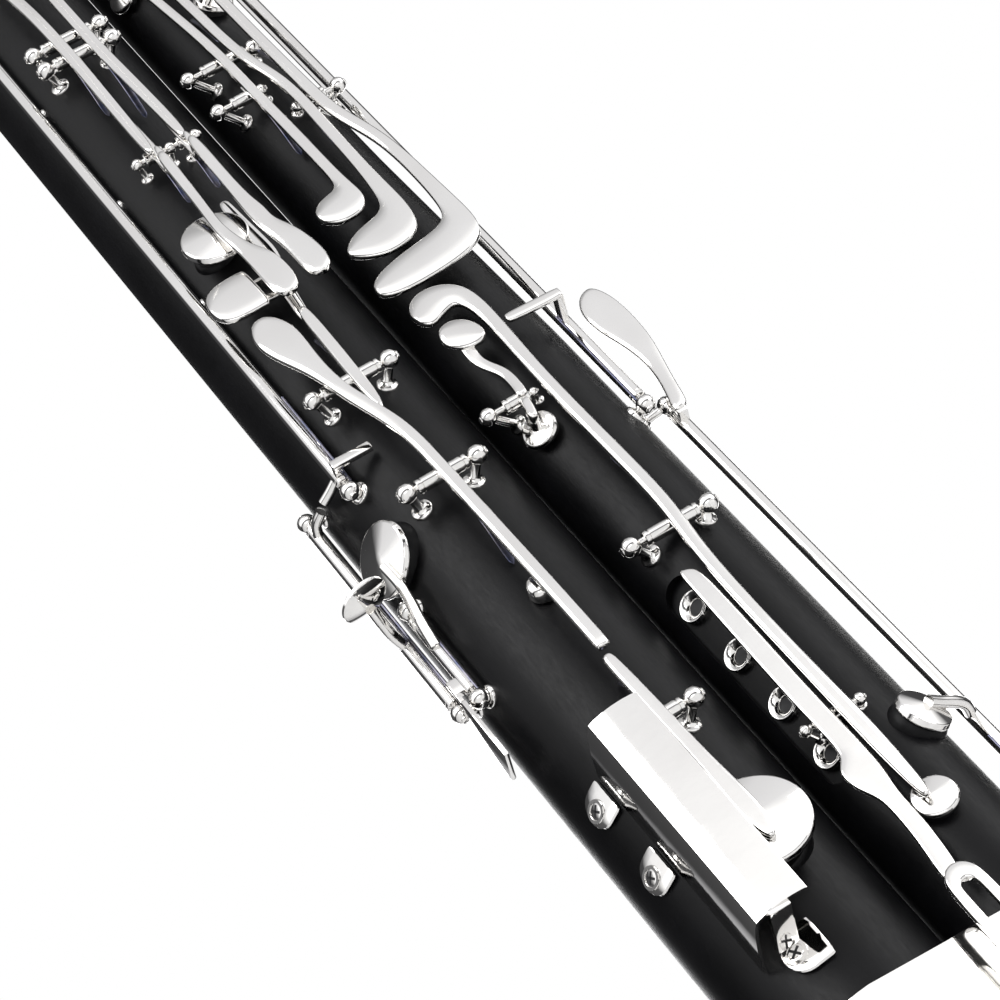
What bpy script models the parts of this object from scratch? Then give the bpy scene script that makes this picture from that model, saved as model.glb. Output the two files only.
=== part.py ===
"""Bassoon with a resin body and nickel-plated keys, every key on its own hinge.

Frame: +Z runs up the instrument to the bell, the origin is the centre of the boot's flat base.
The thumb side faces -Y and the finger side faces +Y; the wing joint is at +X, the long joint at -X.
Lengths in the tables are millimetres and MM turns them into metres.
"""
import math

import bmesh
import bpy
from mathutils import Matrix, Vector

MM = 0.001

# Body
LONG_X = -18.5
LONG_R = 21.5
LONG_BORE = 9.0
WING_X = 19.4
WING_R = 15.6
WING_NECK_R = 14.3
BOOT_TOP = 425.0
BOOT_LONG_R = 21.9
BOOT_WING_R = 19.0
BAND_LENGTH = 29.0
CAP_TOP = 35.7
LONG_TOP = 995.0
WING_TOP = 930.0
BELL_TOP = 1320.0
HEIGHT = 1340.0
TENON = 38.0
SOCKET_DEPTH = 40.0
GAP = 0.3

# Key work
PIN_R = 0.8
TUBE_R = 1.9
BALL_R = 2.4
LONG_PIVOT_Y = -27.5
LONG_LEVER = (-29.0, -31.0)
LONG_HIGH = (-30.0, -31.8)
LONG_TOUCH = (-31.6, -33.4)
WING_PIVOT_Y = -18.4
WING_LEVER = (-20.5, -22.3)
WING_TOUCH = (-20.4, -22.5)
LEVER_HALF = 1.7
SEAT_HEIGHT = 1.4

BLACK = ("black_resin", (0.012, 0.012, 0.014), 0.0, 0.38)
NICKEL = ("nickel_plate", (0.80, 0.79, 0.77), 1.0, 0.16)
CORK = ("cork", (0.58, 0.40, 0.24), 0.0, 0.85)
IVORY = ("bell_ring_resin", (0.02, 0.02, 0.022), 0.0, 0.25)


def start():
    """Empty the scene and make one collection for the parts and one for the blanks."""
    for item in list(bpy.data.objects):
        bpy.data.objects.remove(item, do_unlink=True)
    made = []
    for label in ("bassoon", "blanks"):
        group = bpy.data.collections.new(label)
        bpy.context.scene.collection.children.link(group)
        made.append(group)
    return made


PARTS, BLANKS = start()


def paint(finish, name):
    """Principled material of one part."""
    _, colour, metallic, roughness = finish
    made = bpy.data.materials.new(name + "_" + finish[0])
    made.use_nodes = True
    shader = made.node_tree.nodes["Principled BSDF"]
    shader.inputs["Base Color"].default_value = (*colour, 1.0)
    shader.inputs["Metallic"].default_value = metallic
    shader.inputs["Roughness"].default_value = roughness
    return made


def blank(bm):
    """Object of a finished bmesh, kept with the blanks."""
    mesh = bpy.data.meshes.new("blank")
    bm.to_mesh(mesh)
    bm.free()
    made = bpy.data.objects.new("blank", mesh)
    BLANKS.objects.link(made)
    return made


def flatten(item):
    """Turn a curve or a modified object into a welded mesh blank."""
    bpy.context.view_layer.update()
    graph = bpy.context.evaluated_depsgraph_get()
    mesh = bpy.data.meshes.new_from_object(item.evaluated_get(graph))
    bm = bmesh.new()
    bm.from_mesh(mesh)
    bm.transform(item.matrix_world)
    bmesh.ops.remove_doubles(bm, verts=bm.verts, dist=0.000002)
    bmesh.ops.recalc_face_normals(bm, faces=bm.faces)
    bpy.data.objects.remove(item, do_unlink=True)
    return blank(bm)


def rod(start_point, end_point, radius, end_radius=None, sides=10):
    """Round bar, or a cone, between two points."""
    low = Vector(start_point) * MM
    high = Vector(end_point) * MM
    along = high - low
    tip = radius if end_radius is None else end_radius
    bm = bmesh.new()
    bmesh.ops.create_cone(bm, cap_ends=True, segments=sides, radius1=radius * MM, radius2=tip * MM,
                          depth=along.length)
    turn = along.to_track_quat("Z", "Y").to_matrix().to_4x4()
    bmesh.ops.transform(bm, matrix=Matrix.Translation((low + high) / 2) @ turn, verts=bm.verts)
    return blank(bm)


def ball(centre, radius, around=8, rings=5):
    bm = bmesh.new()
    bmesh.ops.create_uvsphere(bm, u_segments=around, v_segments=rings, radius=radius * MM)
    bmesh.ops.translate(bm, vec=Vector(centre) * MM, verts=bm.verts)
    return blank(bm)


def block(low, high):
    low = Vector(low) * MM
    high = Vector(high) * MM
    bm = bmesh.new()
    bmesh.ops.create_cube(bm, size=1.0)
    size = high - low
    bmesh.ops.scale(bm, vec=size, verts=bm.verts)
    bmesh.ops.translate(bm, vec=(low + high) / 2, verts=bm.verts)
    return blank(bm)


def flat_outline(points, thickness, place):
    """Closed flat outline, thickened about its plane and placed by a matrix."""
    curve = bpy.data.curves.new("outline", "CURVE")
    curve.dimensions = "2D"
    curve.fill_mode = "BOTH"
    curve.extrude = thickness * MM / 2
    spline = curve.splines.new("POLY")
    spline.points.add(len(points) - 1)
    for point, (across, along) in zip(spline.points, points):
        point.co = (across * MM, along * MM, 0.0, 1.0)
    spline.use_cyclic_u = True
    item = bpy.data.objects.new("outline", curve)
    item.matrix_world = place
    BLANKS.objects.link(item)
    return flatten(item)


def plate(points, back, front):
    """Flat outline given in X and Z, filling from one Y to the other."""
    middle = (back + front) / 2 * MM
    place = Matrix.Translation((0, middle, 0)) @ Matrix.Rotation(math.radians(90), 4, "X")
    return flat_outline(points, abs(back - front), place)


def slab(points, bottom, top):
    """Flat outline given in X and Y, filling from one Z to the other."""
    return flat_outline(points, top - bottom, Matrix.Translation((0, 0, (bottom + top) / 2 * MM)))


def strip(stations, end_steps=3):
    """Outline of a lever from its centre line: stations are x, z and half width, ends are round."""
    spots = [Vector((x, z)) for x, z, _ in stations]
    halves = [half for _, _, half in stations]
    count = len(spots)
    normals = []
    for i in range(count):
        along = (spots[min(i + 1, count - 1)] - spots[max(i - 1, 0)]).normalized()
        normals.append(Vector((-along.y, along.x)))
    left = [spots[i] + normals[i] * halves[i] for i in range(count)]
    right = [spots[i] - normals[i] * halves[i] for i in reversed(range(count))]
    outline = left + end_arc(spots[-1], normals[-1], halves[-1], end_steps) + right
    outline += end_arc(spots[0], -normals[0], halves[0], end_steps)
    return [(spot.x, spot.y) for spot in outline]


def end_arc(centre, normal, radius, steps):
    """Half-round end between the two sides of a strip."""
    first = math.atan2(normal.y, normal.x)
    points = []
    for i in range(1, steps):
        angle = first - math.pi * i / steps
        points.append(centre + Vector((math.cos(angle), math.sin(angle))) * radius)
    return points


def oval(centre, across, along, tilt=0.0, steps=12):
    """Elliptical outline turned by tilt degrees."""
    turn = math.radians(tilt)
    points = []
    for i in range(steps):
        angle = 2 * math.pi * i / steps
        u = across * math.cos(angle)
        v = along * math.sin(angle)
        points.append((centre[0] + u * math.cos(turn) - v * math.sin(turn),
                       centre[1] + u * math.sin(turn) + v * math.cos(turn)))
    return points


def turned(profile, axis_x, steps=24, axis_y=0.0):
    """Profile of radius and height, closed, turned about a vertical axis."""
    bm = bmesh.new()
    verts = [bm.verts.new((radius * MM, 0, height * MM)) for radius, height in profile]
    for i, vert in enumerate(verts):
        bm.edges.new((vert, verts[(i + 1) % len(verts)]))
    item = blank(bm)
    screw = item.modifiers.new("turn", "SCREW")
    screw.steps = steps
    screw.render_steps = steps
    screw.use_merge_vertices = True
    screw.merge_threshold = 0.00001
    item.location = (axis_x * MM, axis_y * MM, 0)
    return flatten(item)


def pipe(points, radius, taper=None, resolution=6, sides=2):
    """Round tube along a smooth path; taper gives a radius factor for each point."""
    curve = bpy.data.curves.new("pipe", "CURVE")
    curve.dimensions = "3D"
    curve.bevel_depth = radius * MM
    curve.bevel_resolution = sides
    curve.use_fill_caps = True
    curve.resolution_u = resolution
    curve.render_resolution_u = 0
    spline = curve.splines.new("NURBS")
    spline.points.add(len(points) - 1)
    spline.use_endpoint_u = True
    spline.order_u = 4
    for i, spot in enumerate(points):
        spline.points[i].co = (*(Vector(spot) * MM), 1.0)
        spline.points[i].radius = taper[i] if taper else 1.0
    item = bpy.data.objects.new("pipe", curve)
    BLANKS.objects.link(item)
    return flatten(item)


def part(name, finish, pieces, cuts=(), origin=(0, 0, 0)):
    """Union the pieces, take the cuts away and leave one named solid with its own origin."""
    base = pieces[0]
    for label, others in (("UNION", pieces[1:]), ("DIFFERENCE", cuts)):
        for other in others:
            joint = base.modifiers.new(label.lower(), "BOOLEAN")
            joint.operation = label
            joint.object = other
            joint.solver = "EXACT"
    result = flatten(base)
    for other in list(pieces[1:]) + list(cuts):
        bpy.data.objects.remove(other, do_unlink=True)
    home = Vector(origin) * MM
    mesh = result.data
    mesh.transform(Matrix.Translation(-home))
    mesh.materials.clear()
    mesh.materials.append(paint(finish, name))
    mesh.shade_smooth()
    mesh.set_sharp_from_angle(angle=math.radians(35))
    BLANKS.objects.unlink(result)
    PARTS.objects.link(result)
    result.location = home
    result.name = name
    mesh.name = name
    return result


def post(centre, axis_x, surface_r, radius=BALL_R):
    """Ball on a stem with a round flange that stands on a joint of the given radius."""
    out = Vector((centre[0] - axis_x, centre[1], 0)).normalized()
    foot = Vector((axis_x, 0, centre[2])) + out * (surface_r + GAP)
    stem_top = Vector(centre)
    flange_top = foot + out * 0.9
    pieces = [ball(centre, radius), rod(foot + out * 0.2, stem_top, 1.2, sides=6)]
    if (stem_top - flange_top).length > 1.5:
        pieces.append(rod(foot, flange_top, 2.4, sides=6))
    return pieces


def pivot(name, ends, axis_x, surface_r, radii=(BALL_R, BALL_R)):
    """Two ball posts and the pivot rod that joins them."""
    pieces = []
    for centre, radius in zip(ends, radii):
        pieces += post(centre, axis_x, surface_r, radius)
    pieces.append(rod(ends[0], ends[1], PIN_R, sides=6))
    return part(name, NICKEL, pieces)


def cross_ends(left, right, y, z):
    return [(left, y, z), (right, y, z)]


def hinge_tube(left, right, y, z, radius=TUBE_R):
    return rod((left, y, z), (right, y, z), radius, sides=10)


def pin_hole(left, right, y, z):
    return rod((left - 1, y, z), (right + 1, y, z), PIN_R + GAP, sides=7)


def hub(x, z, tube_y, back):
    """Small saddle between a hinge tube and the lever above it."""
    return block((x - 1.5, min(back, tube_y) - 0.3, z - 2.3), (x + 1.5, tube_y - 0.9, z + 2.3))


def cup(x, z, radius, bottom, top):
    """Pad cup that faces the body along Y."""
    return rod((x, bottom, z), (x, top, z), radius, radius * 0.94, sides=14)


def cross_key(name, tube, pieces, extra_cuts=()):
    """Key on a hinge tube that runs along X; tube is left, right, y and z."""
    left, right, y, z = tube
    return part(name, NICKEL, [hinge_tube(left, right, y, z)] + pieces,
                [pin_hole(left, right, y, z)] + list(extra_cuts), ((left + right) / 2, y, z))


def upright_key(name, axis, low, high, pieces):
    """Key on a hinge tube that runs along Z; axis is its x and y."""
    x, y = axis
    tube = rod((x, y, low), (x, y, high), TUBE_R, sides=10)
    hole = rod((x, y, low - 1), (x, y, high + 1), PIN_R + GAP, sides=7)
    return part(name, NICKEL, [tube] + pieces, [hole], (x, y, (low + high) / 2))


def upright_pivot(name, axis, low, high, axis_x, surface_r):
    """Two ball posts and a pivot rod that run along Z."""
    ends = [(axis[0], axis[1], low), (axis[0], axis[1], high)]
    return pivot(name, ends, axis_x, surface_r)


def around(axis_x, radius, angle, height):
    """Point at a radius from a joint's axis; angle is degrees from -Y, positive towards +X."""
    turn = math.radians(angle)
    return (axis_x + radius * math.sin(turn), -radius * math.cos(turn), height)


def seat(axis_x, surface_r, angle, height, radius):
    """Raised ring that a pad closes on."""
    return rod(around(axis_x, surface_r - 3, angle, height),
               around(axis_x, surface_r + SEAT_HEIGHT, angle, height), radius, sides=12)


def tone_hole(axis_x, surface_r, angle, height, radius):
    """Hole from the bore out through the wall."""
    return rod(around(axis_x, 1.0, angle, height), around(axis_x, surface_r + 4, angle, height), radius,
               sides=8)


# ---- body -------------------------------------------------------------------------------------

def boot_outline(grow):
    """Oval around the two bores: two arcs joined by straight sides."""
    points = []
    spread = math.asin((BOOT_LONG_R - BOOT_WING_R) / (WING_X - LONG_X))
    for centre, radius, first in ((WING_X, BOOT_WING_R, -math.pi / 2 - spread),
                                  (LONG_X, BOOT_LONG_R, math.pi / 2 + spread)):
        sweep = math.pi + 2 * spread if centre == WING_X else math.pi - 2 * spread
        for i in range(13):
            angle = first + sweep * i / 12
            points.append((centre + (radius + grow) * math.cos(angle), (radius + grow) * math.sin(angle)))
    return points


def boot():
    rebate = 1.5
    main = slab(boot_outline(0), CAP_TOP + GAP, BOOT_TOP - BAND_LENGTH - GAP)
    neck = slab(boot_outline(-rebate), CAP_TOP + 20, BOOT_TOP - GAP)
    sockets = [rod((LONG_X, 0, BOOT_TOP - SOCKET_DEPTH), (LONG_X, 0, BOOT_TOP + 5), 17.3, sides=28),
               rod((WING_X, 0, BOOT_TOP - SOCKET_DEPTH), (WING_X, 0, BOOT_TOP + 5), 12.9, sides=24)]
    bores = [rod((LONG_X, 0, CAP_TOP - 5), (LONG_X, 0, BOOT_TOP - 10), 8.5, sides=16),
             rod((WING_X, 0, CAP_TOP - 5), (WING_X, 0, BOOT_TOP - 10), 6.5, sides=16)]
    finger_holes = [rod((WING_X - 7, 4, z), (WING_X - 7, 30, z), 3.6, sides=12) for z in (384, 352)]
    part("boot_body", BLACK, [main, neck], sockets + bores + finger_holes)
    ring = slab(boot_outline(0.8), BOOT_TOP - BAND_LENGTH, BOOT_TOP)
    inside = slab(boot_outline(GAP - rebate), BOOT_TOP - BAND_LENGTH - 5, BOOT_TOP + 5)
    part("boot_top_band", NICKEL, [ring], [inside])
    shell = slab(boot_outline(0.6), 0, CAP_TOP)
    hollow = slab(boot_outline(-1.0), 1.6, CAP_TOP + 5)
    part("boot_bottom_cap", NICKEL, [shell], [hollow])


def u_bow():
    """Return bend that joins the boot's two bores at the bottom."""
    middle = (LONG_X + WING_X) / 2
    half = (WING_X - LONG_X) / 2
    top = CAP_TOP - 0.4
    bend = []
    for i in range(9):
        angle = math.pi * i / 8
        bend.append((middle - half * math.cos(angle), 0, 29.0 - 15.0 * math.sin(angle)))
    path = [(LONG_X, 0, top)] + bend + [(WING_X, 0, top)]
    air = [(LONG_X, 0, top + 4)] + bend + [(WING_X, 0, top + 4)]
    flanges = [rod((x, 0, top - 3), (x, 0, top), 11.5, sides=16) for x in (LONG_X, WING_X)]
    part("u_bow", NICKEL, [pipe(path, 8.8, resolution=2)] + flanges, [pipe(air, 6.9, resolution=2)])


def long_joint():
    profile = [(13.7, LONG_TOP + TENON - GAP), (13.7, LONG_TOP), (23.0, LONG_TOP), (23.0, LONG_TOP - 9),
               (LONG_R, LONG_TOP - 11), (LONG_R, BOOT_TOP + GAP), (14.0, BOOT_TOP + GAP),
               (14.0, BOOT_TOP - TENON), (LONG_BORE, BOOT_TOP - TENON), (LONG_BORE, LONG_TOP + TENON - GAP)]
    tube = turned(profile, LONG_X)
    seats = ((1, 467.5, 10.5), (-13, 709, 5.4), (-14, 878, 6.0), (-54, 594.5, 8.2), (-72, 868, 7.0))
    rings = [seat(LONG_X, LONG_R, angle, z, radius) for angle, z, radius in seats]
    holes = [tone_hole(LONG_X, LONG_R, angle, z, radius * 0.62) for angle, z, radius in seats]
    part("long_joint", BLACK, [tube] + rings, holes)


def capsule(radius, low, high, steps=4):
    """Profile of a round bar with domed ends, to be turned; low and high are the domes' centres."""
    profile = []
    for centre, first in ((high, 90), (low, 0)):
        for i in range(steps + 1):
            angle = math.radians(first - 90 * i / steps)
            profile.append((max(radius * math.cos(angle), 0.0), centre + radius * math.sin(angle)))
    return profile


def wing_joint():
    crook = WING_TOP - 34
    profile = [(13.2, WING_TOP), (16.2, WING_TOP - 1), (16.2, WING_TOP - 12), (WING_NECK_R, WING_TOP - 14),
               (WING_NECK_R, 730), (WING_R, 640), (WING_R, BOOT_TOP + GAP), (9.5, BOOT_TOP + GAP),
               (9.5, BOOT_TOP - TENON), (5.0, BOOT_TOP - TENON), (3.6, crook), (6.8, crook),
               (6.8, WING_TOP)]
    tube = turned(profile, WING_X, 22)
    wing = turned(capsule(11.0, 470, 660), 15.0, 20, 8.6)
    seats = ((-5, 457.6, 4.2), (38, 480, 6.2), (-31, 605.5, 3.4))
    rings = [seat(WING_X, WING_R, angle, z, radius) for angle, z, radius in seats]
    small = ((-42, 838, 4.0), (-7, 872, 4.0), (22, 812, 4.4))
    rings += [seat(WING_X, WING_NECK_R, angle, z, radius) for angle, z, radius in small]
    holes = [tone_hole(WING_X, WING_R, angle, z, radius * 0.55) for angle, z, radius in seats + small]
    fingers = [rod((18.0, 0, z), (12.5, 24, z + 9), 3.0, sides=8) for z in (500, 548, 596)]
    slot_mid = around(WING_X, WING_R + 0.4, -40, 513)
    slot = rod((slot_mid[0], slot_mid[1], 481), (slot_mid[0], slot_mid[1], 545), 2.6, sides=12)
    part("wing_joint", BLACK, [tube, wing] + rings, [slot] + holes + fingers)


def bell():
    base = LONG_TOP + GAP
    profile = [(23.4, BELL_TOP), (22.6, 1300), (20.8, 1260), (20.2, 1180), (21.2, 1100), (22.6, 1046),
               (24.6, 1036), (24.6, base), (17.0, base), (17.0, LONG_TOP + SOCKET_DEPTH),
               (14.0, LONG_TOP + SOCKET_DEPTH + 0.5), (15.5, 1180), (18.6, BELL_TOP)]
    pad_seat = seat(LONG_X, 22.4, 0, 1068, 10.5)
    part("bell", BLACK, [turned(profile, LONG_X), pad_seat], [tone_hole(LONG_X, 22, 0, 1068, 6.5)])
    ring = [(25.2, HEIGHT), (25.2, BELL_TOP + GAP), (18.8, BELL_TOP + GAP), (19.6, HEIGHT)]
    part("bell_ring", IVORY, [turned(ring, LONG_X)])
    band = [(25.6, 1012), (25.6, base + 0.5), (24.9, base + 0.5), (24.9, 1012)]
    part("bell_socket_band", NICKEL, [turned(band, LONG_X)])


def lapping(name, axis_x, inner, outer, low, high):
    """Cork sleeve on a tenon."""
    ring = [(outer, high), (outer, low), (inner, low), (inner, high)]
    part(name, CORK, [turned(ring, axis_x, 20)])


def lappings():
    lapping("long_tenon_lapping", LONG_X, 14.3, 17.0, BOOT_TOP - TENON + 3, BOOT_TOP - 5)
    lapping("wing_tenon_lapping", WING_X, 9.8, 12.6, BOOT_TOP - TENON + 3, BOOT_TOP - 5)
    lapping("bocal_cork", WING_X, 4.9, 6.5, WING_TOP - 32, WING_TOP + 4)


def bocal():
    path = [(WING_X, 0, WING_TOP - 32), (WING_X, 0, WING_TOP + 2), (WING_X, 0, WING_TOP + 34),
            (WING_X, -6, WING_TOP + 66), (WING_X, -38, WING_TOP + 104), (WING_X, -92, WING_TOP + 112),
            (WING_X, -142, WING_TOP + 84), (WING_X, -186, WING_TOP + 62), (WING_X, -222, WING_TOP + 58)]
    taper = [1.0, 1.0, 0.96, 0.9, 0.82, 0.74, 0.66, 0.58, 0.52]
    air = [(WING_X, 0, WING_TOP - 36)] + path[1:-1] + [(WING_X, -226, WING_TOP + 58)]
    nipple = rod((WING_X, 0, WING_TOP + 18), (WING_X + 9.2, 0, WING_TOP + 18), 1.7, sides=10)
    ferrule = rod((WING_X, 0, WING_TOP + 5), (WING_X, 0, WING_TOP + 9), 6.4, sides=16)
    part("bocal", NICKEL, [pipe(path, 4.6, taper, 3), nipple, ferrule],
         [pipe(air, 3.5, [t * 0.95 for t in taper], 3)])


def strap_ring():
    """Ring on a plate at the boot's band, where the neck strap hooks in."""
    face = BOOT_LONG_R - 1.4
    curve = [(0, face + 10.4 + 7.0 * math.cos(a), 408 + 7.0 * math.sin(a))
             for a in [2 * math.pi * i / 16 for i in range(16)]]
    bm = bmesh.new()
    verts = [bm.verts.new(Vector(spot) * MM) for spot in curve]
    for i, vert in enumerate(verts):
        bm.edges.new((vert, verts[(i + 1) % len(verts)]))
    hoop = blank(bm)
    skin = hoop.modifiers.new("skin", "SKIN")
    for item in hoop.data.skin_vertices[0].data:
        item.radius = (1.3 * MM, 1.3 * MM)
    foot = block((-4, face + 1.5, 402), (4, face + 2.9, 414))
    part("strap_ring", NICKEL, [foot, flatten(hoop), rod((0, face + 2.0, 408), (0, face + 4.2, 408), 1.8)])


def pad_guard():
    """Half-round roof on three feet over the low D pad."""
    outside = [(-33.2, -17.2), (-33.4, -26.0), (-33.1, -31.0), (-31.9, -33.4), (-29.0, -34.4), (-24.5, -34.9),
               (-19.4, -34.4)]
    inside = [(-19.4, -33.6), (-24.5, -34.1), (-28.8, -33.6), (-31.3, -32.7), (-32.3, -30.6), (-32.6, -26.0),
              (-32.4, -17.8)]
    roof = slab(outside + inside, 443, 506.5)
    leg = block((-29.5, -34.6, 441.8), (-24.5, -21.3, 443.6))
    feet = []
    for angle, z, radius in ((-50, 502, 4.8), (-50, 480, 4.8), (-17, 440, 5.4)):
        spot = around(LONG_X, LONG_R + GAP, angle, z)
        top = around(LONG_X, LONG_R + GAP + 1.3, angle, z)
        feet.append(rod(spot, top, radius, sides=12))
    part("pad_guard", NICKEL, [roof, leg] + feet)


def joint_lock():
    """Latch plate that holds the long joint and the wing joint together at the top."""
    bar = block((-12.5, 22.0, 900), (9.0, 24.4, 910))
    leg = block((6.0, 14.4, 900.5), (8.7, 23.0, 909.5))
    part("joint_lock", NICKEL, [bar, leg, rod((7.4, 23.5, 905), (7.4, 26.5, 905), 2.6)])


# ---- keys on the long joint -------------------------------------------------------------------

def low_b_and_b_flat():
    """Two thumb levers side by side; each lifts the foot of a longer lever above it."""
    y = -26.6
    z = 748.5
    pieces = [rod((-24.9, y, z), (-8.0, y, z), PIN_R, sides=6)]
    for x in (-24.9, -15.3, -8.0):
        pieces += post((x, y, z), LONG_X, LONG_R, 1.6)
    part("low_touch_pivot", NICKEL, pieces)
    touches = {"low_b_touch": (-19.8, (-22.8, -17.3),
                               [(-20.0, 739.5, 1.5), (-21.4, 707, 1.6), (-20.8, 697, 2.0),
                                (-18.7, 688, 2.9), (-18.0, 679, 3.7), (-18.4, 671.5, 2.6)]),
               "low_b_flat_touch": (-11.4, (-13.3, -10.0),
                                    [(-11.3, 739.5, 1.5), (-11.9, 706, 1.7), (-10.6, 696, 2.4),
                                     (-9.3, 687, 2.9), (-8.4, 678, 3.6), (-8.8, 672, 2.2)])}
    for name, (x, span, line) in touches.items():
        tail = plate(strip([(x, 762, 1.3), (x, 747, 1.5), (x, 736.5, 1.5)]), -26.9, -29.5)
        step = block((x - 1.3, -32.4, 735.6), (x + 1.3, -28.0, 739.2))
        cross_key(name, (*span, y, z), [tail, step, plate(strip(line), *LONG_TOUCH)])
    y = LONG_PIVOT_Y
    pivot("low_b_lever_pivot", cross_ends(-27.4, -7.2, y, 810), LONG_X, LONG_R)
    line = [(-21.2, 745, 1.5), (-20.5, 796, LEVER_HALF), (-20.8, 822, LEVER_HALF), (-23.2, 846, LEVER_HALF),
            (-24.5, 878, LEVER_HALF)]
    cross_key("low_b_lever", (-24.7, -9.9, y, 810),
              [hub(-20.6, 810, y, LONG_HIGH[0]), plate(strip(line), *LONG_HIGH),
               cup(-24.5, 878, 8.6, -26.0, -30.4)])
    pivot("low_b_flat_lever_pivot", cross_ends(-27.4, -7.2, y, 801.6), LONG_X, LONG_R)
    line = [(-11.6, 745, 1.5), (-13.2, 797, LEVER_HALF), (-13.4, 858, LEVER_HALF),
            (-14.0, 930, LEVER_HALF), (-18.5, 1021, LEVER_HALF)]
    cross_key("low_b_flat_lever", (-24.7, -9.9, y, 801.6),
              [hub(-13.2, 801.6, y, LONG_HIGH[0]), plate(strip(line), *LONG_HIGH)])
    pivot("bell_key_pivot", cross_ends(-28.5, -8.5, -28.4, 1106), LONG_X, 21.4)
    line = [(-18.5, 1025.5, 1.5), (-18.5, 1060, 2.4), (-18.5, 1106, LEVER_HALF)]
    cross_key("bell_key", (-25.8, -11.2, -28.4, 1106),
              [plate(strip(line), -29.6, -31.6), cup(-18.5, 1068, 11.5, -26.2, -29.9)])


def low_c():
    z = 638.0
    pivot("low_c_pivot", cross_ends(-30.4, -9.6, LONG_PIVOT_Y, z), LONG_X, LONG_R, (2.2, BALL_R))
    upper = plate(strip([(-18.9, 630, 1.6), (-18.6, 642, LEVER_HALF), (-18.0, 666.4, 1.6)]),
                  -27.1, -29.7)
    lower = plate(strip([(-17.9, 665, LEVER_HALF), (-16.6, 680, LEVER_HALF), (-14.0, 695, 1.9),
                         (-14.6, 718.6, 1.7)]), -25.6, -27.3)
    bridge = plate([(-15.3, 706.6), (-15.3, 709.3), (-21.9, 709.3), (-21.9, 706.6)], -25.9, -27.1)
    tab = plate([(-17.0, 677), (-17.0, 687), (-27.0, 687), (-27.0, 677)], -25.8, -27.45)
    touch = plate([(-22.6, 690.0), (-26.5, 690.4), (-31.0, 689.5), (-34.2, 687), (-35.8, 682), (-35.2, 677),
                   (-32.0, 674.6), (-24.5, 674.6), (-22.2, 675.0)], -27.0, -29.0)
    pad = cup(-22.1, 707.7, 8.9, -26.3, -28.8)
    cross_key("low_c_key", (-27.9, -12.3, LONG_PIVOT_Y, z), [pad, touch, tab, bridge, lower, upper])


def low_d():
    z = 596.2
    pivot("low_d_pivot", cross_ends(-27.8, -9.2, LONG_PIVOT_Y, z), LONG_X, LONG_R)
    touch = [(-28.7, 664.0, 3.2), (-28.3, 658.5, 5.0), (-26.6, 647, 3.0), (-24.7, 634.5, 1.9),
             (-21.4, 621, 1.9)]
    line = [(-22.4, 625, 1.8), (-18.9, 611, 1.8), (-18.3, 596, LEVER_HALF), (-17.4, 525.3, LEVER_HALF)]
    cross_key("low_d_lever", (-25.1, -11.9, LONG_PIVOT_Y, z),
              [plate(strip(line), *LONG_LEVER), plate(strip(touch), -30.8, -32.6)])
    z = 503.4
    pivot("low_d_pad_pivot", cross_ends(-25.6, -9.4, LONG_PIVOT_Y, z), LONG_X, LONG_R)
    line = [(-18.5, 521.2, 1.4), (-17.9, 503, LEVER_HALF), (-17.2, 468, 2.4)]
    cross_key("low_d_pad_key", (-22.9, -12.1, LONG_PIVOT_Y, z),
              [plate(strip(line), *LONG_LEVER), cup(-17.2, 467.5, 11.8, -26.9, -29.9)])


def side_cup(axis_x, angle, height, radius, bottom, top):
    """Pad cup that faces a joint's axis at an angle round it."""
    return rod(around(axis_x, bottom, angle, height), around(axis_x, top, angle, height), radius,
               radius * 0.94, sides=14)


def little_finger_keys():
    """Left little finger: E flat key and the C sharp touch with its long rod up the joint."""
    axis = (-40.3, -10.0)
    upright_pivot("e_flat_pivot", axis, 547.8, 581.0, LONG_X, LONG_R)
    pad = side_cup(LONG_X, -54, 594.5, 9.2, LONG_R + SEAT_HEIGHT + GAP, LONG_R + 4.6)
    start_spot = (axis[0] - 0.5, axis[1] - 2.0, 569)
    end_spot = around(LONG_X, LONG_R + 5.4, -50, 591)
    arm = rod(start_spot, end_spot, 1.5, sides=8)
    rise = block((-44.5, -10.8, 547), (-43.3, -9.2, 556))
    shelf = block((-44.3, -10.9, 551.2), (-40.4, -9.1, 556))
    touch = block((-44.6, -11.5, 529), (-43.2, -2.5, 549))
    upright_key("e_flat_key", axis, 550.6, 578.2, [arm, pad, rise, shelf, touch])
    axis = (-43.9, -3.0)
    upright_pivot("c_sharp_touch_pivot", axis, 552.8, 628.0, LONG_X, LONG_R)
    disc = rod((-48.4, -17.1, 584.4), (-48.0, -16.8, 582.4), 6.4, sides=14)
    stem = rod((-44.4, -3.8, 578), (-47.8, -15.0, 582.6), 1.4, sides=8)
    arm = rod((-43.9, -3.5, 621.5), (-41.4, -10.6, 621.5), 1.3, sides=8)
    upright_key("c_sharp_touch", axis, 555.6, 625.2, [disc, stem, arm])
    axis = (-34.9, -18.3)
    upright_pivot("c_sharp_rod_pivot", axis, 615.2, 884.0, LONG_X, LONG_R)
    link = rod((-35.5, -17.5, 621.5), (-40.2, -12.8, 621.5), 1.3, sides=8)
    stop = block((-36.2, -23.6, 619.0), (-25.4, -22.2, 621.6))
    riser = block((-35.9, -22.6, 619.2), (-33.9, -19.0, 621.4))
    pad = side_cup(LONG_X, -72, 868, 8.0, LONG_R + SEAT_HEIGHT + GAP, LONG_R + 4.4)
    arm = rod((-36.4, -19.4, 868), around(LONG_X, LONG_R + 5.2, -72, 868), 1.5, sides=8)
    upright_key("c_sharp_rod", axis, 618.0, 881.2, [link, riser, stop, pad, arm])


# ---- keys on the wing joint -------------------------------------------------------------------

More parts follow.
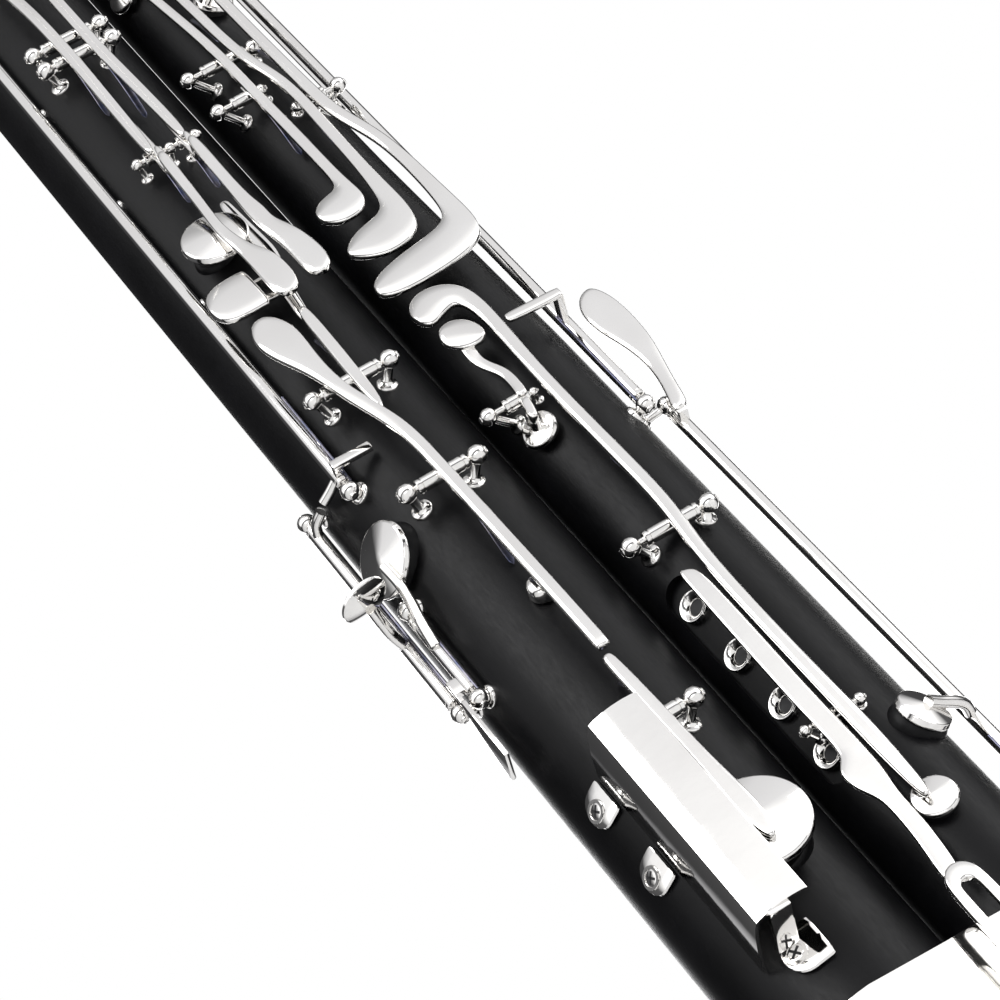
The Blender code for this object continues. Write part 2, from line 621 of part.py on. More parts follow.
def high_keys():
    """Three thumb touches in a fan that open the high D, C and A vents."""
    y = WING_PIVOT_Y
    pivot("high_d_pivot", cross_ends(3.8, 16.7, y, 763), WING_X, WING_NECK_R, (2.2, 1.7))
    line = [(13.9, 700, 2.4), (14.2, 716, 1.6), (13.8, 763, 1.5), (13.8, 782, 1.5), (10.4, 818, 1.4),
            (9.6, 838, 1.6)]
    touch = plate([(14.9, 706), (9.0, 708), (4.6, 706.5), (3.2, 702), (5.4, 697.5), (10.5, 696.2),
                   (15.4, 697)], *WING_TOUCH)
    stem = rod((9.0, -14.9, 838), (9.4, -21, 838), 2.2, sides=8)
    pad = side_cup(WING_X, -42, 838, 5.2, WING_NECK_R + SEAT_HEIGHT + GAP, WING_NECK_R + 4)
    cross_key("high_d_key", (7.7, 14.7, y, 763),
              [hub(13.2, 763, y, WING_LEVER[0]), plate(strip(line), *WING_LEVER), touch, stem, pad])
    pivot("high_c_pivot", cross_ends(3.6, 23.4, y, 781.2), WING_X, WING_NECK_R, (2.2, 2.2))
    line = [(19.0, 686, 2.2), (20.2, 700, 1.6), (21.9, 740, 1.5), (22.0, 757, 1.5), (18.8, 771, 1.5),
            (17.7, 785, 1.5), (16.6, 820, 1.4), (17.6, 872, 1.8)]
    touch = plate([(19.6, 692.5), (12.0, 691.5), (5.0, 689), (2.2, 684.5), (4.8, 680), (11.5, 677.5),
                   (17.4, 679), (21.0, 685)], *WING_TOUCH)
    cross_key("high_c_key", (7.5, 20.9, y, 781.2),
              [hub(18.0, 781.2, y, WING_LEVER[0]), plate(strip(line), *WING_LEVER), touch,
               cup(17.6, 872, 5.2, -16.2, -18.8), rod((17.6, -18, 872), (17.6, -21.4, 872), 1.8, sides=8)])
    y = -16.7
    pivot("high_a_pivot", cross_ends(21.4, 34.0, y, 752), WING_X, WING_NECK_R, (1.5, 2.2))
    line = [(29.0, 673, 3.0), (31.4, 690, 1.8), (31.0, 712, 1.7), (28.4, 728, 1.6), (25.8, 739, 1.6),
            (25.7, 786, 1.6), (25.2, 812, 2.0)]
    touch = plate([(30.6, 677.5), (22.0, 676.5), (9.0, 674.5), (1.8, 670), (1.0, 665.5), (5.0, 662.8),
                   (14.0, 662.8), (27.0, 664.5), (31.8, 668)], *WING_TOUCH)
    cross_key("high_a_key", (23.3, 30.0, y, 752),
              [hub(25.8, 752, y, WING_LEVER[0]), plate(strip(line), *WING_LEVER), touch,
               side_cup(WING_X, 22, 812, 5.6, WING_NECK_R + SEAT_HEIGHT + GAP, WING_NECK_R + 4.2),
               rod((25.2, -16.6, 812), (25.2, -21.4, 812), 1.8, sides=8)])


def wing_c_sharp():
    z = 556.5
    y = -18.5
    pivot("wing_c_sharp_pivot", cross_ends(6.0, 26.4, y, z), WING_X, WING_R)
    back = -20.1
    front = -21.9
    line = [(16.6, 652.5, 2.6), (18.2, 644, 2.0), (17.6, 610, LEVER_HALF), (18.2, 564, LEVER_HALF),
            (17.4, 550, LEVER_HALF), (17.8, 513, LEVER_HALF), (15.9, 459, 1.3)]
    touch = plate([(18.0, 655), (14.0, 659.2), (8.5, 659.8), (4.4, 656.6), (3.6, 651.5), (6.4, 647.6),
                   (10.5, 649.2), (15.0, 651.0)], back + 0.1, front - 0.2)
    pad = side_cup(WING_X, -5, 457.6, 5.2, WING_R + SEAT_HEIGHT + GAP, WING_R + 3.6)
    stem = rod((16.2, -18.8, 460), (16.2, -20.8, 460), 1.3, sides=8)
    cross_key("wing_c_sharp_key", (9.5, 23.7, y, z), [plate(strip(line), back, front), touch, pad, stem])


def whisper_work():
    """Whisper key: oval touch, the rod that runs up to the bocal, and the link down to the boot."""
    y = -18.6
    z = 614.0
    pivot("whisper_touch_pivot", cross_ends(2.0, 14.3, y, z), WING_X, WING_R, (2.2, 1.2))
    touch = plate(oval((9.7, 639.6), 5.2, 3.6, -38), -20.8, -22.6)
    arm = plate(strip([(9.2, 637, 1.9), (8.8, 631, 1.4), (11.2, 626, 1.3), (11.4, 613, 1.4)]),
                -20.2, -21.6)
    pad = side_cup(WING_X, -31, 605.5, 4.8, WING_R + SEAT_HEIGHT + GAP, WING_R + 3.6)
    bar = plate(strip([(11.0, 611.8, 1.2), (9.6, 605.5, 1.3)]), -18.0, -21.3)
    stem = rod((9.8, -15.8, 605.5), (9.8, -19.0, 605.5), 1.2, sides=8)
    part("whisper_touch", NICKEL, [hinge_tube(6.1, 12.9, y, z), arm, touch, bar, stem, pad],
         [pin_hole(6.1, 12.9, y, z)], (9.5, y, z))
    axis = (35.9, -9.6)
    upright_pivot("whisper_rod_pivot", axis, 601.4, WING_TOP - 20, WING_X, WING_NECK_R + 1.3)
    cross = block((21.6, -20.2, 637.2), (36.4, -18.8, 640.4))
    drop = block((34.6, -20.0, 637.4), (36.6, -10.5, 640.2))
    vent = rod((30.1, 0, WING_TOP + 18), (32.0, 0, WING_TOP + 18), 3.2, sides=12)
    climb = rod((38.9, -11.6, WING_TOP - 27), (38.9, -11.6, WING_TOP + 19), 1.3, sides=8)
    collar = rod((35.9, -9.6, WING_TOP - 27), (39.6, -12.0, WING_TOP - 27), 1.6, sides=8)
    crossover = rod((39.3, -12.2, WING_TOP + 18), (31.4, -0.4, WING_TOP + 18), 1.2, sides=8)
    upright_key("whisper_rod", axis, 604.2, WING_TOP - 22.8, [cross, drop, collar, climb, crossover, vent])
    y = -17.7
    z = 488.5
    pivot("whisper_link_pivot", cross_ends(7.0, 20.6, y, z), WING_X, WING_R, (1.4, 1.5))
    line = [(11.9, 540, 2.1), (11.6, 522, 2.2), (11.1, 488, 2.4), (11.0, 478, 2.5), (9.4, 472.5, 3.9),
            (9.7, 466, 3.8), (10.2, 460, 2.1), (10.1, 454, 2.1), (8.5, 438.5, 2.0)]
    strap = plate(strip(line), -18.9, -20.3)
    part("whisper_link", NICKEL, [hinge_tube(9.6, 18.8, y, z, 1.6), strap], [pin_hole(9.6, 18.8, y, z)],
         (14.2, y, z))


def trill():
    """Side key on a long rod down the wing joint's right flank."""
    axis = (41.7, -4.0)
    upright_pivot("trill_pivot", axis, 440.5, 603.0, WING_X, WING_R)
    pad = side_cup(WING_X, 38, 480, 7.0, WING_R + SEAT_HEIGHT + GAP, WING_R + 4.4)
    arm = rod((41.4, -4.4, 480), around(WING_X, WING_R + 5.0, 38, 480), 1.4, sides=8)
    touch = plate([(40.4, 596), (44.6, 597), (46.2, 612), (49.8, 628), (50.4, 640), (46.6, 646.5),
                   (41.6, 643), (40.4, 633), (43.2, 621), (43.9, 608)], -7.6, -9.2)
    rise = block((40.6, -8.6, 594.5), (43.4, -4.6, 599))
    upright_key("trill_key", axis, 443.3, 600.2, [pad, arm, rise, touch])


# ---- keys on the boot -------------------------------------------------------------------------

def boot_pivot(name, left, right, y, z):
    """Ball posts that stand on the boot's flat side, on the side that y points to."""
    side = 1 if y > 0 else -1
    pieces = []
    for x in (left, right):
        foot = side * boot_face(x)
        pieces += [ball((x, y, z), BALL_R), rod((x, foot + side * 2 * GAP, z), (x, y, z), 1.2, sides=6),
                   rod((x, foot + side * 1.6 * GAP, z), (x, foot + side * 1.5, z), 2.4, sides=6)]
    pieces.append(rod((left, y, z), (right, y, z), PIN_R, sides=8))
    part(name, NICKEL, pieces)


def boot_face(x):
    """Half depth of the boot at x, between its two round sides."""
    share = (x - LONG_X) / (WING_X - LONG_X)
    if share < 0:
        return math.sqrt(BOOT_LONG_R ** 2 - (x - LONG_X) ** 2)
    if share > 1:
        return math.sqrt(BOOT_WING_R ** 2 - (x - WING_X) ** 2)
    return BOOT_LONG_R + (BOOT_WING_R - BOOT_LONG_R) * share


def boot_thumb_keys():
    y = -26.6
    boot_pivot("pancake_pivot", -5.5, 15.5, y, 372)
    frame = plate([(2.9, 398), (10.3, 398), (10.3, 430), (8.9, 433), (6.6, 434.2), (4.3, 433), (2.9, 430)],
                  -27.6, -29.4)
    window = block((4.7, -31, 404), (8.5, -26, 429))
    stalk = plate(strip([(5.4, 341, 2.2), (6.4, 372, 2.0), (6.6, 400, 2.0)]), -27.7, -29.5)
    pancake = cup(5.0, 330, 12.5, -25.0, -28.4)
    cross_key("pancake_key", (-2.7, 12.7, y, 372), [stalk, frame, pancake], [window])
    boot_pivot("thumb_b_flat_pivot", -14.0, 4.0, y, 250)
    line = [(-6.0, 276, LEVER_HALF), (-6.0, 250, LEVER_HALF), (-12.5, 206, 2.0)]
    cross_key("thumb_b_flat_key", (-11.2, 1.2, y, 250),
              [plate(strip(line), -28.2, -30.0), plate(oval((-6.0, 281), 6.4, 9.5), -28.0, -30.2),
               cup(-12.5, 205, 10.5, -boot_face(-12.5) - GAP - 0.9, -28.6)])


def boot_finger_keys():
    y = 27.0
    boot_pivot("little_finger_pivot", -21.5, 21.5, y, 190)
    keys = {"f_sharp_key": ((-18.7, -3.2), -12.0, -16.5, 128, 12.5, 262),
            "a_flat_key": ((-2.5, 18.7), 8.0, 13.5, 138, 9.5, 240)}
    for name, (span, touch_x, pad_x, pad_z, pad_r, touch_z) in keys.items():
        line = [(touch_x, touch_z - 8, LEVER_HALF), (touch_x, 190, LEVER_HALF), (pad_x, pad_z, 2.2)]
        cross_key(name, (*span, y, 190),
                  [plate(strip(line), 28.6, 30.4), plate(oval((touch_x, touch_z), 6.2, 11.0), 28.4, 30.6),
                   cup(pad_x, pad_z, pad_r, boot_face(pad_x) + GAP + 0.6, 29.0)])


boot()
u_bow()
long_joint()
wing_joint()
bell()
lappings()
bocal()
strap_ring()
pad_guard()
joint_lock()
low_b_and_b_flat()
low_c()
low_d()
little_finger_keys()
high_keys()
wing_c_sharp()
whisper_work()
trill()
boot_thumb_keys()
boot_finger_keys()
BLANKS.hide_render = True
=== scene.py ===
"""Looks of the bassoon: black resin joints, plated key work, pads, screws and springs over the solids.

Lengths in the tables are millimetres. A key's outline is drawn in X and Z as seen from the thumb side (-Y).
"""
import math

import bmesh
import bpy
from mathutils import Matrix, Vector


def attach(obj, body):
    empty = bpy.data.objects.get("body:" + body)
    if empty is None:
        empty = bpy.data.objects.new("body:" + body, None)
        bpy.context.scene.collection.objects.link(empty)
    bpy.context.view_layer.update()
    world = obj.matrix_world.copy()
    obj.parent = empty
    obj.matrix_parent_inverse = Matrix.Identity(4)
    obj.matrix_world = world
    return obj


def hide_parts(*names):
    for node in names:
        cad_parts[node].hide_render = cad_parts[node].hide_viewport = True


MM = 0.001
ROOT = "instrument"

# Body
LONG_X = -18.5
LONG_R = 21.5
WING_X = 19.4
WING_R = 15.6
WING_NECK_R = 14.3
BOOT_TOP = 425.0
BOOT_LONG_R = 21.9
BOOT_WING_R = 19.0
BAND_LENGTH = 29.0
CAP_TOP = 35.7
LONG_TOP = 995.0
WING_TOP = 930.0
BELL_TOP = 1320.0
HEIGHT = 1340.0
SEAT_HEIGHT = 1.4
GAP = 0.3

# Key work
PIN_R = 0.8
TUBE_R = 1.8
BALL_R = 2.4
LEVER_THICK = 1.9

# Smoothness
JOINT_STEPS = 112
BODY_SHARP = 38

# View
CAMERA_SPOT = (-0.17837, -0.54239, 0.08331)
CAMERA_AHEAD = (0.22612, 0.70092, 0.67645)
CAMERA_ACROSS = (0.849, 0.199, -0.490)
LENS = 118.8

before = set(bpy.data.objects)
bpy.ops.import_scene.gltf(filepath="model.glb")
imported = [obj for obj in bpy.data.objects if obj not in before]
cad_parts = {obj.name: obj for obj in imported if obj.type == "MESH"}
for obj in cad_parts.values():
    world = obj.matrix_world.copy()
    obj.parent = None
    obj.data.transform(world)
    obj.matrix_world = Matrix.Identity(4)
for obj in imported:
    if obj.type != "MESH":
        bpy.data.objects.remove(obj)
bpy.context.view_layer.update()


# ---- materials --------------------------------------------------------------------------------

def new_material(name, colour, metallic, roughness):
    made = bpy.data.materials.new(name)
    made.use_nodes = True
    shader = made.node_tree.nodes["Principled BSDF"]
    shader.inputs["Base Color"].default_value = (*colour, 1.0)
    shader.inputs["Metallic"].default_value = metallic
    shader.inputs["Roughness"].default_value = roughness
    return made, made.node_tree, shader


def noise(tree, scale, detail=3.0, stretch=None):
    """Noise in the object's own metres, stretched along an axis where the grain runs."""
    place = tree.nodes.new("ShaderNodeTexCoord")
    texture = tree.nodes.new("ShaderNodeTexNoise")
    texture.inputs["Scale"].default_value = scale
    texture.inputs["Detail"].default_value = detail
    if stretch:
        mapping = tree.nodes.new("ShaderNodeMapping")
        mapping.inputs["Scale"].default_value = stretch
        tree.links.new(place.outputs["Object"], mapping.inputs["Vector"])
        tree.links.new(mapping.outputs["Vector"], texture.inputs["Vector"])
    else:
        tree.links.new(place.outputs["Object"], texture.inputs["Vector"])
    return texture.outputs["Fac"]


def remap(tree, value, low, high, socket):
    """Drive a number on the shader with a texture, between low and high."""
    spread = tree.nodes.new("ShaderNodeMapRange")
    spread.inputs["From Min"].default_value = 0.3
    spread.inputs["From Max"].default_value = 0.7
    spread.inputs["To Min"].default_value = low
    spread.inputs["To Max"].default_value = high
    tree.links.new(value, spread.inputs["Value"])
    tree.links.new(spread.outputs["Result"], socket)


def recolour(tree, value, dark, light, shader):
    """Blend two colours by a texture."""
    ramp = tree.nodes.new("ShaderNodeValToRGB")
    ramp.color_ramp.elements[0].position = 0.32
    ramp.color_ramp.elements[0].color = (*dark, 1.0)
    ramp.color_ramp.elements[1].position = 0.68
    ramp.color_ramp.elements[1].color = (*light, 1.0)
    tree.links.new(value, ramp.inputs["Fac"])
    tree.links.new(ramp.outputs["Color"], shader.inputs["Base Color"])


def emboss(tree, value, distance, shader):
    bump = tree.nodes.new("ShaderNodeBump")
    bump.inputs["Strength"].default_value = 1.0
    bump.inputs["Distance"].default_value = distance
    tree.links.new(value, bump.inputs["Height"])
    tree.links.new(bump.outputs["Normal"], shader.inputs["Normal"])


def resin_material():
    """Black resin: satin, with a fine sanded grain along the joint and a faint cloudiness."""
    made, tree, shader = new_material("black_resin", (0.012, 0.012, 0.014), 0.0, 0.42)
    recolour(tree, noise(tree, 45.0, 4.0), (0.0012, 0.0012, 0.0015), (0.0036, 0.0036, 0.0043), shader)
    grain = noise(tree, 1400.0, 4.0, (1.0, 1.0, 0.22))
    remap(tree, grain, 0.34, 0.46, shader.inputs["Roughness"])
    emboss(tree, grain, 0.00002, shader)
    shader.inputs["Specular IOR Level"].default_value = 0.15
    return made


def gloss_resin_material():
    made, tree, shader = new_material("polished_resin", (0.015, 0.015, 0.017), 0.0, 0.2)
    remap(tree, noise(tree, 180.0), 0.14, 0.26, shader.inputs["Roughness"])
    return made


def plate_material():
    """Nickel plate: mirror bright, with faint buffing marks and a trace of handling haze."""
    made, tree, shader = new_material("nickel_plate", (0.86, 0.85, 0.83), 1.0, 0.07)
    recolour(tree, noise(tree, 30.0), (0.83, 0.815, 0.795), (0.90, 0.89, 0.87), shader)
    remap(tree, noise(tree, 120.0, 5.0), 0.035, 0.10, shader.inputs["Roughness"])
    emboss(tree, noise(tree, 260.0, 2.0), 0.000012, shader)
    return made


def steel_material():
    """Blued steel of the springs."""
    made, tree, shader = new_material("blued_steel", (0.09, 0.10, 0.16), 1.0, 0.28)
    recolour(tree, noise(tree, 300.0), (0.05, 0.06, 0.11), (0.16, 0.15, 0.17), shader)
    return made


def pad_material():
    """Cream kid skin over felt."""
    made, tree, shader = new_material("pad_skin", (0.80, 0.74, 0.62), 0.0, 0.62)
    texture = noise(tree, 900.0, 4.0)
    recolour(tree, texture, (0.70, 0.62, 0.49), (0.86, 0.81, 0.71), shader)
    emboss(tree, texture, 0.00006, shader)
    return made


def cork_material():
    made, tree, shader = new_material("waxed_cork", (0.50, 0.33, 0.19), 0.0, 0.8)
    texture = noise(tree, 700.0, 5.0)
    recolour(tree, texture, (0.33, 0.20, 0.10), (0.62, 0.44, 0.27), shader)
    emboss(tree, texture, 0.00012, shader)
    return made


def painted_shade_material():
    """Painted shade: a near-black finish that stands for the shadowed bottom of a screw slot or an open hole.
    """
    made, tree, shader = new_material("painted_shade", (0.01, 0.01, 0.011), 0.0, 0.7)
    recolour(tree, noise(tree, 500.0), (0.006, 0.006, 0.007), (0.018, 0.018, 0.02), shader)
    return made


FINISH = {
    "resin": resin_material(), "gloss": gloss_resin_material(), "plate": plate_material(),
    "steel": steel_material(), "pad": pad_material(), "cork": cork_material(), "painted_shade": painted_shade_material(),
}


# ---- shapes -----------------------------------------------------------------------------------

def loft(rings, loop=False, ends=True):
    """Skin over rings of equally many points."""
    bm = bmesh.new()
    made = [[bm.verts.new(Vector(spot) * MM) for spot in ring] for ring in rings]
    count = len(rings[0])
    following = made[1:] + ([made[0]] if loop else [])
    for low, high in zip(made, following):
        for i in range(count):
            j = (i + 1) % count
            bm.faces.new((low[i], low[j], high[j], high[i]))
    if ends and not loop:
        bm.faces.new(made[0])
        bm.faces.new(made[-1])
    bmesh.ops.remove_doubles(bm, verts=bm.verts, dist=0.0000001)
    bmesh.ops.recalc_face_normals(bm, faces=bm.faces)
    return bm


def lathe(profile, start, out, steps=36, loop=False):
    """Profile of distance along the axis and radius, turned about the axis."""
    out = Vector(out).normalized()
    side = out.orthogonal().normalized()
    over = out.cross(side)
    rings = []
    for along, radius in profile:
        centre = Vector(start) + out * along
        rings.append([centre + (side * math.cos(2 * math.pi * i / steps) + over
                * math.sin(2 * math.pi * i / steps)) * radius for i in range(steps)])
    return loft(rings, loop)


def rod(start, end, radius, steps=20, chamfer=0.25):
    """Round bar with small chamfers at its ends."""
    length = (Vector(end) - Vector(start)).length
    edge = min(chamfer, radius * 0.5)
    profile = [(0, 0), (0, radius - edge), (edge, radius), (length - edge, radius), (length, radius - edge),
            (length, 0)]
    return lathe(profile, start, Vector(end) - Vector(start), steps)


def item_of(bm):
    """Temporary object of a bmesh."""
    mesh = bpy.data.meshes.new("temporary")
    bm.to_mesh(mesh)
    bm.free()
    item = bpy.data.objects.new("temporary", mesh)
    bpy.context.scene.collection.objects.link(item)
    return item


def taken(item):
    """Mesh of an object with its modifiers applied, as a bmesh; the object is removed."""
    bpy.context.view_layer.update()
    mesh = bpy.data.meshes.new_from_object(item.evaluated_get(bpy.context.evaluated_depsgraph_get()))
    bm = bmesh.new()
    bm.from_mesh(mesh)
    bpy.data.objects.remove(item, do_unlink=True)
    bpy.data.meshes.remove(mesh)
    return bm


def rounded(cage, levels=2):
    """Coarse cage with a subdivision surface."""
    item = item_of(cage)
    soft = item.modifiers.new("round", "SUBSURF")
    soft.levels = levels
    soft.render_levels = levels
    return taken(item)


def carved(base, cutters, operation="DIFFERENCE"):
    """Base with each cutter taken away, or added."""
    item = item_of(base)
    tools = [item_of(cutter) for cutter in cutters]
    for tool in tools:
        cut = item.modifiers.new("cut", "BOOLEAN")
        cut.operation = operation
        cut.object = tool
        cut.solver = "EXACT"
    result = taken(item)
    for tool in tools:
        bpy.data.objects.remove(tool, do_unlink=True)
    return result


def eased(points, per=6):
    """Smooth curve through points."""
    spots = [Vector(point) for point in points]
    curve = []
    for i in range(len(spots) - 1):
        before = spots[max(i - 1, 0)]
        here = spots[i]
        there = spots[i + 1]
        after = spots[min(i + 2, len(spots) - 1)]
        for k in range(per):
            t = k / per
            curve.append(0.5 * (2 * here + (there - before) * t + (2 * before - 5 * here + 4 * there - after)
                    * t * t + (3 * here - before - 3 * there + after) * t ** 3))
    return curve + [spots[-1]]


def wire(points, radius, steps=14, per=5, tip=None):
    """Round wire along a smooth curve; tip is the radius at its far end."""
    path = eased(points, per)
    count = len(path) - 1
    side = (path[1] - path[0]).orthogonal().normalized()
    rings = []
    for i, spot in enumerate(path):
        along = (path[min(i + 1, count)] - path[max(i - 1, 0)]).normalized()
        side = (side - along * side.dot(along)).normalized()
        over = along.cross(side)
        size = radius + ((tip if tip else radius) - radius) * i / count
        rings.append([spot + (side * math.cos(2 * math.pi * k / steps) + over
                * math.sin(2 * math.pi * k / steps)) * size for k in range(steps)])
    return loft(rings)


def brick(centre, along, out, size):
    """Rectangular block; size is its length along, width across and height along out."""
    out = Vector(out).normalized()
    along = Vector(along)
    along = (along - out * along.dot(out)).normalized()
    across = out.cross(along)
    rings = []
    for end in (-0.5, 0.5):
        middle = Vector(centre) + along * size[0] * end
        rings.append([middle + across * size[1] * u + out * size[2] * v for u,
                v in ((-0.5, -0.5), (0.5, -0.5), (0.5, 0.5), (-0.5, 0.5))])
    return loft(rings)


def flat_ladder(rungs, front, thick=LEVER_THICK, crown=0.3, edge=0.45, levels=2):
    """Flat bar between left and right edge points, crowned in front, with rounded edges and ends.

    A rung is left x, z, right x, z and, where the bar is bent, how far it stands back in Y.
    """
    way = 1 if front < 0 else -1
    rings = []
    for rung in rungs:
        left = Vector((rung[0], 0, rung[1]))
        right = Vector((rung[2], 0, rung[3]))
        width = max((right - left).length, 0.05)
        near = front + way * (rung[4] if len(rung) > 4 else 0)
        far = near + way * thick
        lift = min(crown, width * 0.08)
        inset = min(edge / width, 0.35)
        places = [(inset, near), (0.5, near - way * lift), (1 - inset, near), (1, near + way * edge),
                (1, far - way * edge), (1 - inset, far), (0.5, far), (inset, far), (0, far - way * edge),
                (0, near + way * edge)]
        rings.append([left + (right - left) * share + Vector((0, depth, 0)) for share, depth in places])
    return rounded(loft(rings), levels)


def rungs_of(line):
    """Rungs across a centre line of x, z, half width and, where bent, depth."""
    spots = [Vector((station[0], 0, station[1])) for station in line]
    last = len(spots) - 1
    rungs = []
    for i, station in enumerate(line):
        along = (spots[min(i + 1, last)] - spots[max(i - 1, 0)]).normalized()
        across = Vector((along.z, 0, -along.x)) * station[2]
        low = spots[i] - across
        high = spots[i] + across
        rungs.append((low.x, low.z, high.x, high.z) + tuple(station[3:4]))
    return rungs


def lever(line, front, thick=LEVER_THICK, crown=0.12, edge=0.4):
    return flat_ladder(rungs_of(line), front, thick, crown, edge)


def around(axis_x, radius, angle, height):
    """Point at a radius from a joint's axis; angle is degrees from -Y, positive towards +X."""
    turn = math.radians(angle)
    return Vector((axis_x + radius * math.sin(turn), -radius * math.cos(turn), height))


def away(axis_x, angle):
    return around(0, 1, angle, 0)


# ---- fittings ---------------------------------------------------------------------------------

def ball_post(centre, axis_x, surface_r, radius=BALL_R):
    """Turned post: a flange on the joint, a waisted stem and a ball."""
    centre = Vector(centre)
    out = Vector((centre.x - axis_x, centre.y, 0)).normalized()
    foot = Vector((axis_x, 0, centre.z)) + out * (surface_r - 0.3)
    return turned_post(foot, centre, radius)


def turned_post(foot, centre, radius=BALL_R):
    height = (centre - foot).length
    neck = radius * 0.48
    first = math.asin(neck / radius)
    flange = radius * 1.12
    top = height - radius * math.cos(first)
    profile = [(0, 0), (0, flange), (0.75, flange), (1.0, flange * 0.92), (1.15, flange * 0.72)]
    if top > 2.6:
        profile += [(1.5, neck * 1.3), (2.0, neck)]
    for i in range(13):
        turn = first + (math.pi - first) * i / 12
        profile.append((height - radius * math.cos(turn), radius * math.sin(turn)))
    return lathe(profile, foot, centre - foot, 32)


def hinge_tube(start, end, radius=TUBE_R):
    """Hinge tube with a turned ring near each end."""
    length = (Vector(end) - Vector(start)).length
    step = 0.22
    profile = [(0, 0), (0, radius - step), (step, radius), (1.0, radius), (1.1, radius - step),
            (1.35, radius - step), (1.45, radius), (length - 1.45, radius), (length - 1.35, radius - step),
            (length - 1.1, radius - step), (length - 1.0, radius), (length - step, radius),
            (length, radius - step), (length, 0)]
    return lathe(profile, start, Vector(end) - Vector(start), 28)


def pad_cup(foot, out, radius, height, cone=0.9):
    """Pad cup: a rolled lip, a straight wall and a shallow cone on top."""
    wall = height - cone
    profile = [(0.1, 0), (0.1, radius - 0.5), (0, radius - 0.3), (0.1, radius), (0.55, radius),
            (0.7, radius - 0.12), (wall - 0.35, radius - 0.12), (wall - 0.1, radius - 0.3),
            (wall, radius - 0.65), (height - 0.12, radius * 0.16), (height, 0)]
    return lathe(profile, foot, out, 56)


def pad_disc(foot, out, radius, drop=0.28):
    """Skin pad in its cup, its face just proud of the lip."""
    profile = [(0.3, 0), (0.3, radius - 0.8), (-drop + 0.2, radius - 0.8), (-drop, radius - 1.3),
            (-drop, radius * 0.5), (-drop + 0.12, radius * 0.42), (-drop + 0.12, 0)]
    return lathe(profile, foot, out, 40)


def screw_head(foot, out, radius, height=0.5):
    profile = [(0, 0), (0, radius), (height * 0.55, radius), (height * 0.85, radius * 0.82),
            (height, radius * 0.5), (height, 0)]
    return lathe(profile, foot, out, 24)


def screw_slot(foot, out, radius, height=0.5, cross=False):
    """Slot, or cross, in a screw head: a thin bar whose dark finish is painted shade for the slot."""
    out = Vector(out).normalized()
    middle = Vector(foot) + out * (height - 0.02)
    along = Vector((0, 0, 1)) if abs(out.z) < 0.9 else Vector((1, 0, 0))
    first = (along + out.cross(along) * 0.6).normalized()
    bars = [brick(middle, first, out, (radius * 1.5, radius * 0.3, 0.12))]
    if cross:
        bars.append(brick(middle, out.cross(first), out, (radius * 1.5, radius * 0.3, 0.12)))
    return bars


def flat_spring(x, z_high, z_low, y_high, y_low):
    """Blued leaf spring under a lever, bowed down onto the body."""
    way = 1 if y_high < y_low else -1
    line = []
    for i in range(5):
        share = i / 4
        bow = (y_low - y_high) * share * share * way
        line.append((x, z_high + (z_low - z_high) * share, 0.9, bow))
    return flat_ladder(rungs_of(line), y_high, 0.35, 0.0, 0.1, 1)


def piece(name, body, finish, shapes, stands_for=(), sharp=42):
    """One visible piece from its shapes."""
    whole = bmesh.new()
    for shape in shapes:
        mesh = bpy.data.meshes.new("shape")
        shape.to_mesh(mesh)
        shape.free()
        whole.from_mesh(mesh)
        bpy.data.meshes.remove(mesh)
    mesh = bpy.data.meshes.new(name)
    whole.to_mesh(mesh)
    whole.free()
    mesh.materials.append(FINISH[finish])
    mesh.shade_smooth()
    mesh.set_sharp_from_angle(angle=math.radians(sharp))
    made = bpy.data.objects.new(name, mesh)
    bpy.context.scene.collection.objects.link(made)
    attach(made, body)
    if stands_for:
        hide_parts(*stands_for)
    return made


def key(node, shapes, pads=(), springs=()):
    """Moving key: its metal, its pads and its leaf spring."""
    piece(node + "_metal", node, "plate", shapes, (node,))
    if pads:
        piece(node + "_pad", node, "pad", list(pads))
    if springs:
        piece(node + "_spring", node, "steel", list(springs))


def pivot(node, ends, axis_x, surface_r, radii=(BALL_R, BALL_R), extra=()):
    """Two ball posts, the pivot rod and its slotted screw ends."""
    first = Vector(ends[0])
    last = Vector(ends[1])
    along = (last - first).normalized()
    shapes = [rod(first, last, PIN_R, 12)] + list(extra)
    slot_shades = []
    for centre, radius, out in ((first, radii[0], -along), (last, radii[1], along)):
        shapes.append(ball_post(centre, axis_x, surface_r, radius))
        foot = centre + out * (radius - 0.25)
        shapes.append(screw_head(foot, out, radius * 0.45, 0.4))
        slot_shades += screw_slot(foot, out, radius * 0.45, 0.4)
    piece(node + "_posts", ROOT, "plate", shapes, (node,))
    # The slot bars get the dark finish: painted shade for the shadow in the screw slots.
    piece(node + "_screw_slot_shades", ROOT, "painted_shade", slot_shades)


def cross_ends(left, right, y, z):
    return [(left, y, z), (right, y, z)]


# ---- joints of the body -----------------------------------------------------------------------

def heights(low, high, step=9.0):
    """Evenly spaced heights from high down to low."""
    count = max(int(round((high - low) / step)), 1)
    return [high - (high - low) * i / count for i in range(count + 1)]


def seat(axis_x, surface_r, angle, height, radius):
    """Raised tone-hole seat with a rounded rim and a sunken middle."""
    profile = [(0, 0), (0, radius + 0.9), (2.6, radius + 0.4), (3 + SEAT_HEIGHT - 0.3, radius),
            (3 + SEAT_HEIGHT, radius - 0.35), (3 + SEAT_HEIGHT, radius - 0.9),
            (3 + SEAT_HEIGHT - 0.5, radius - 1.2), (3 + SEAT_HEIGHT - 0.5, 0)]
    return lathe(profile, around(axis_x, surface_r - 3, angle, height), away(axis_x, angle), 40)


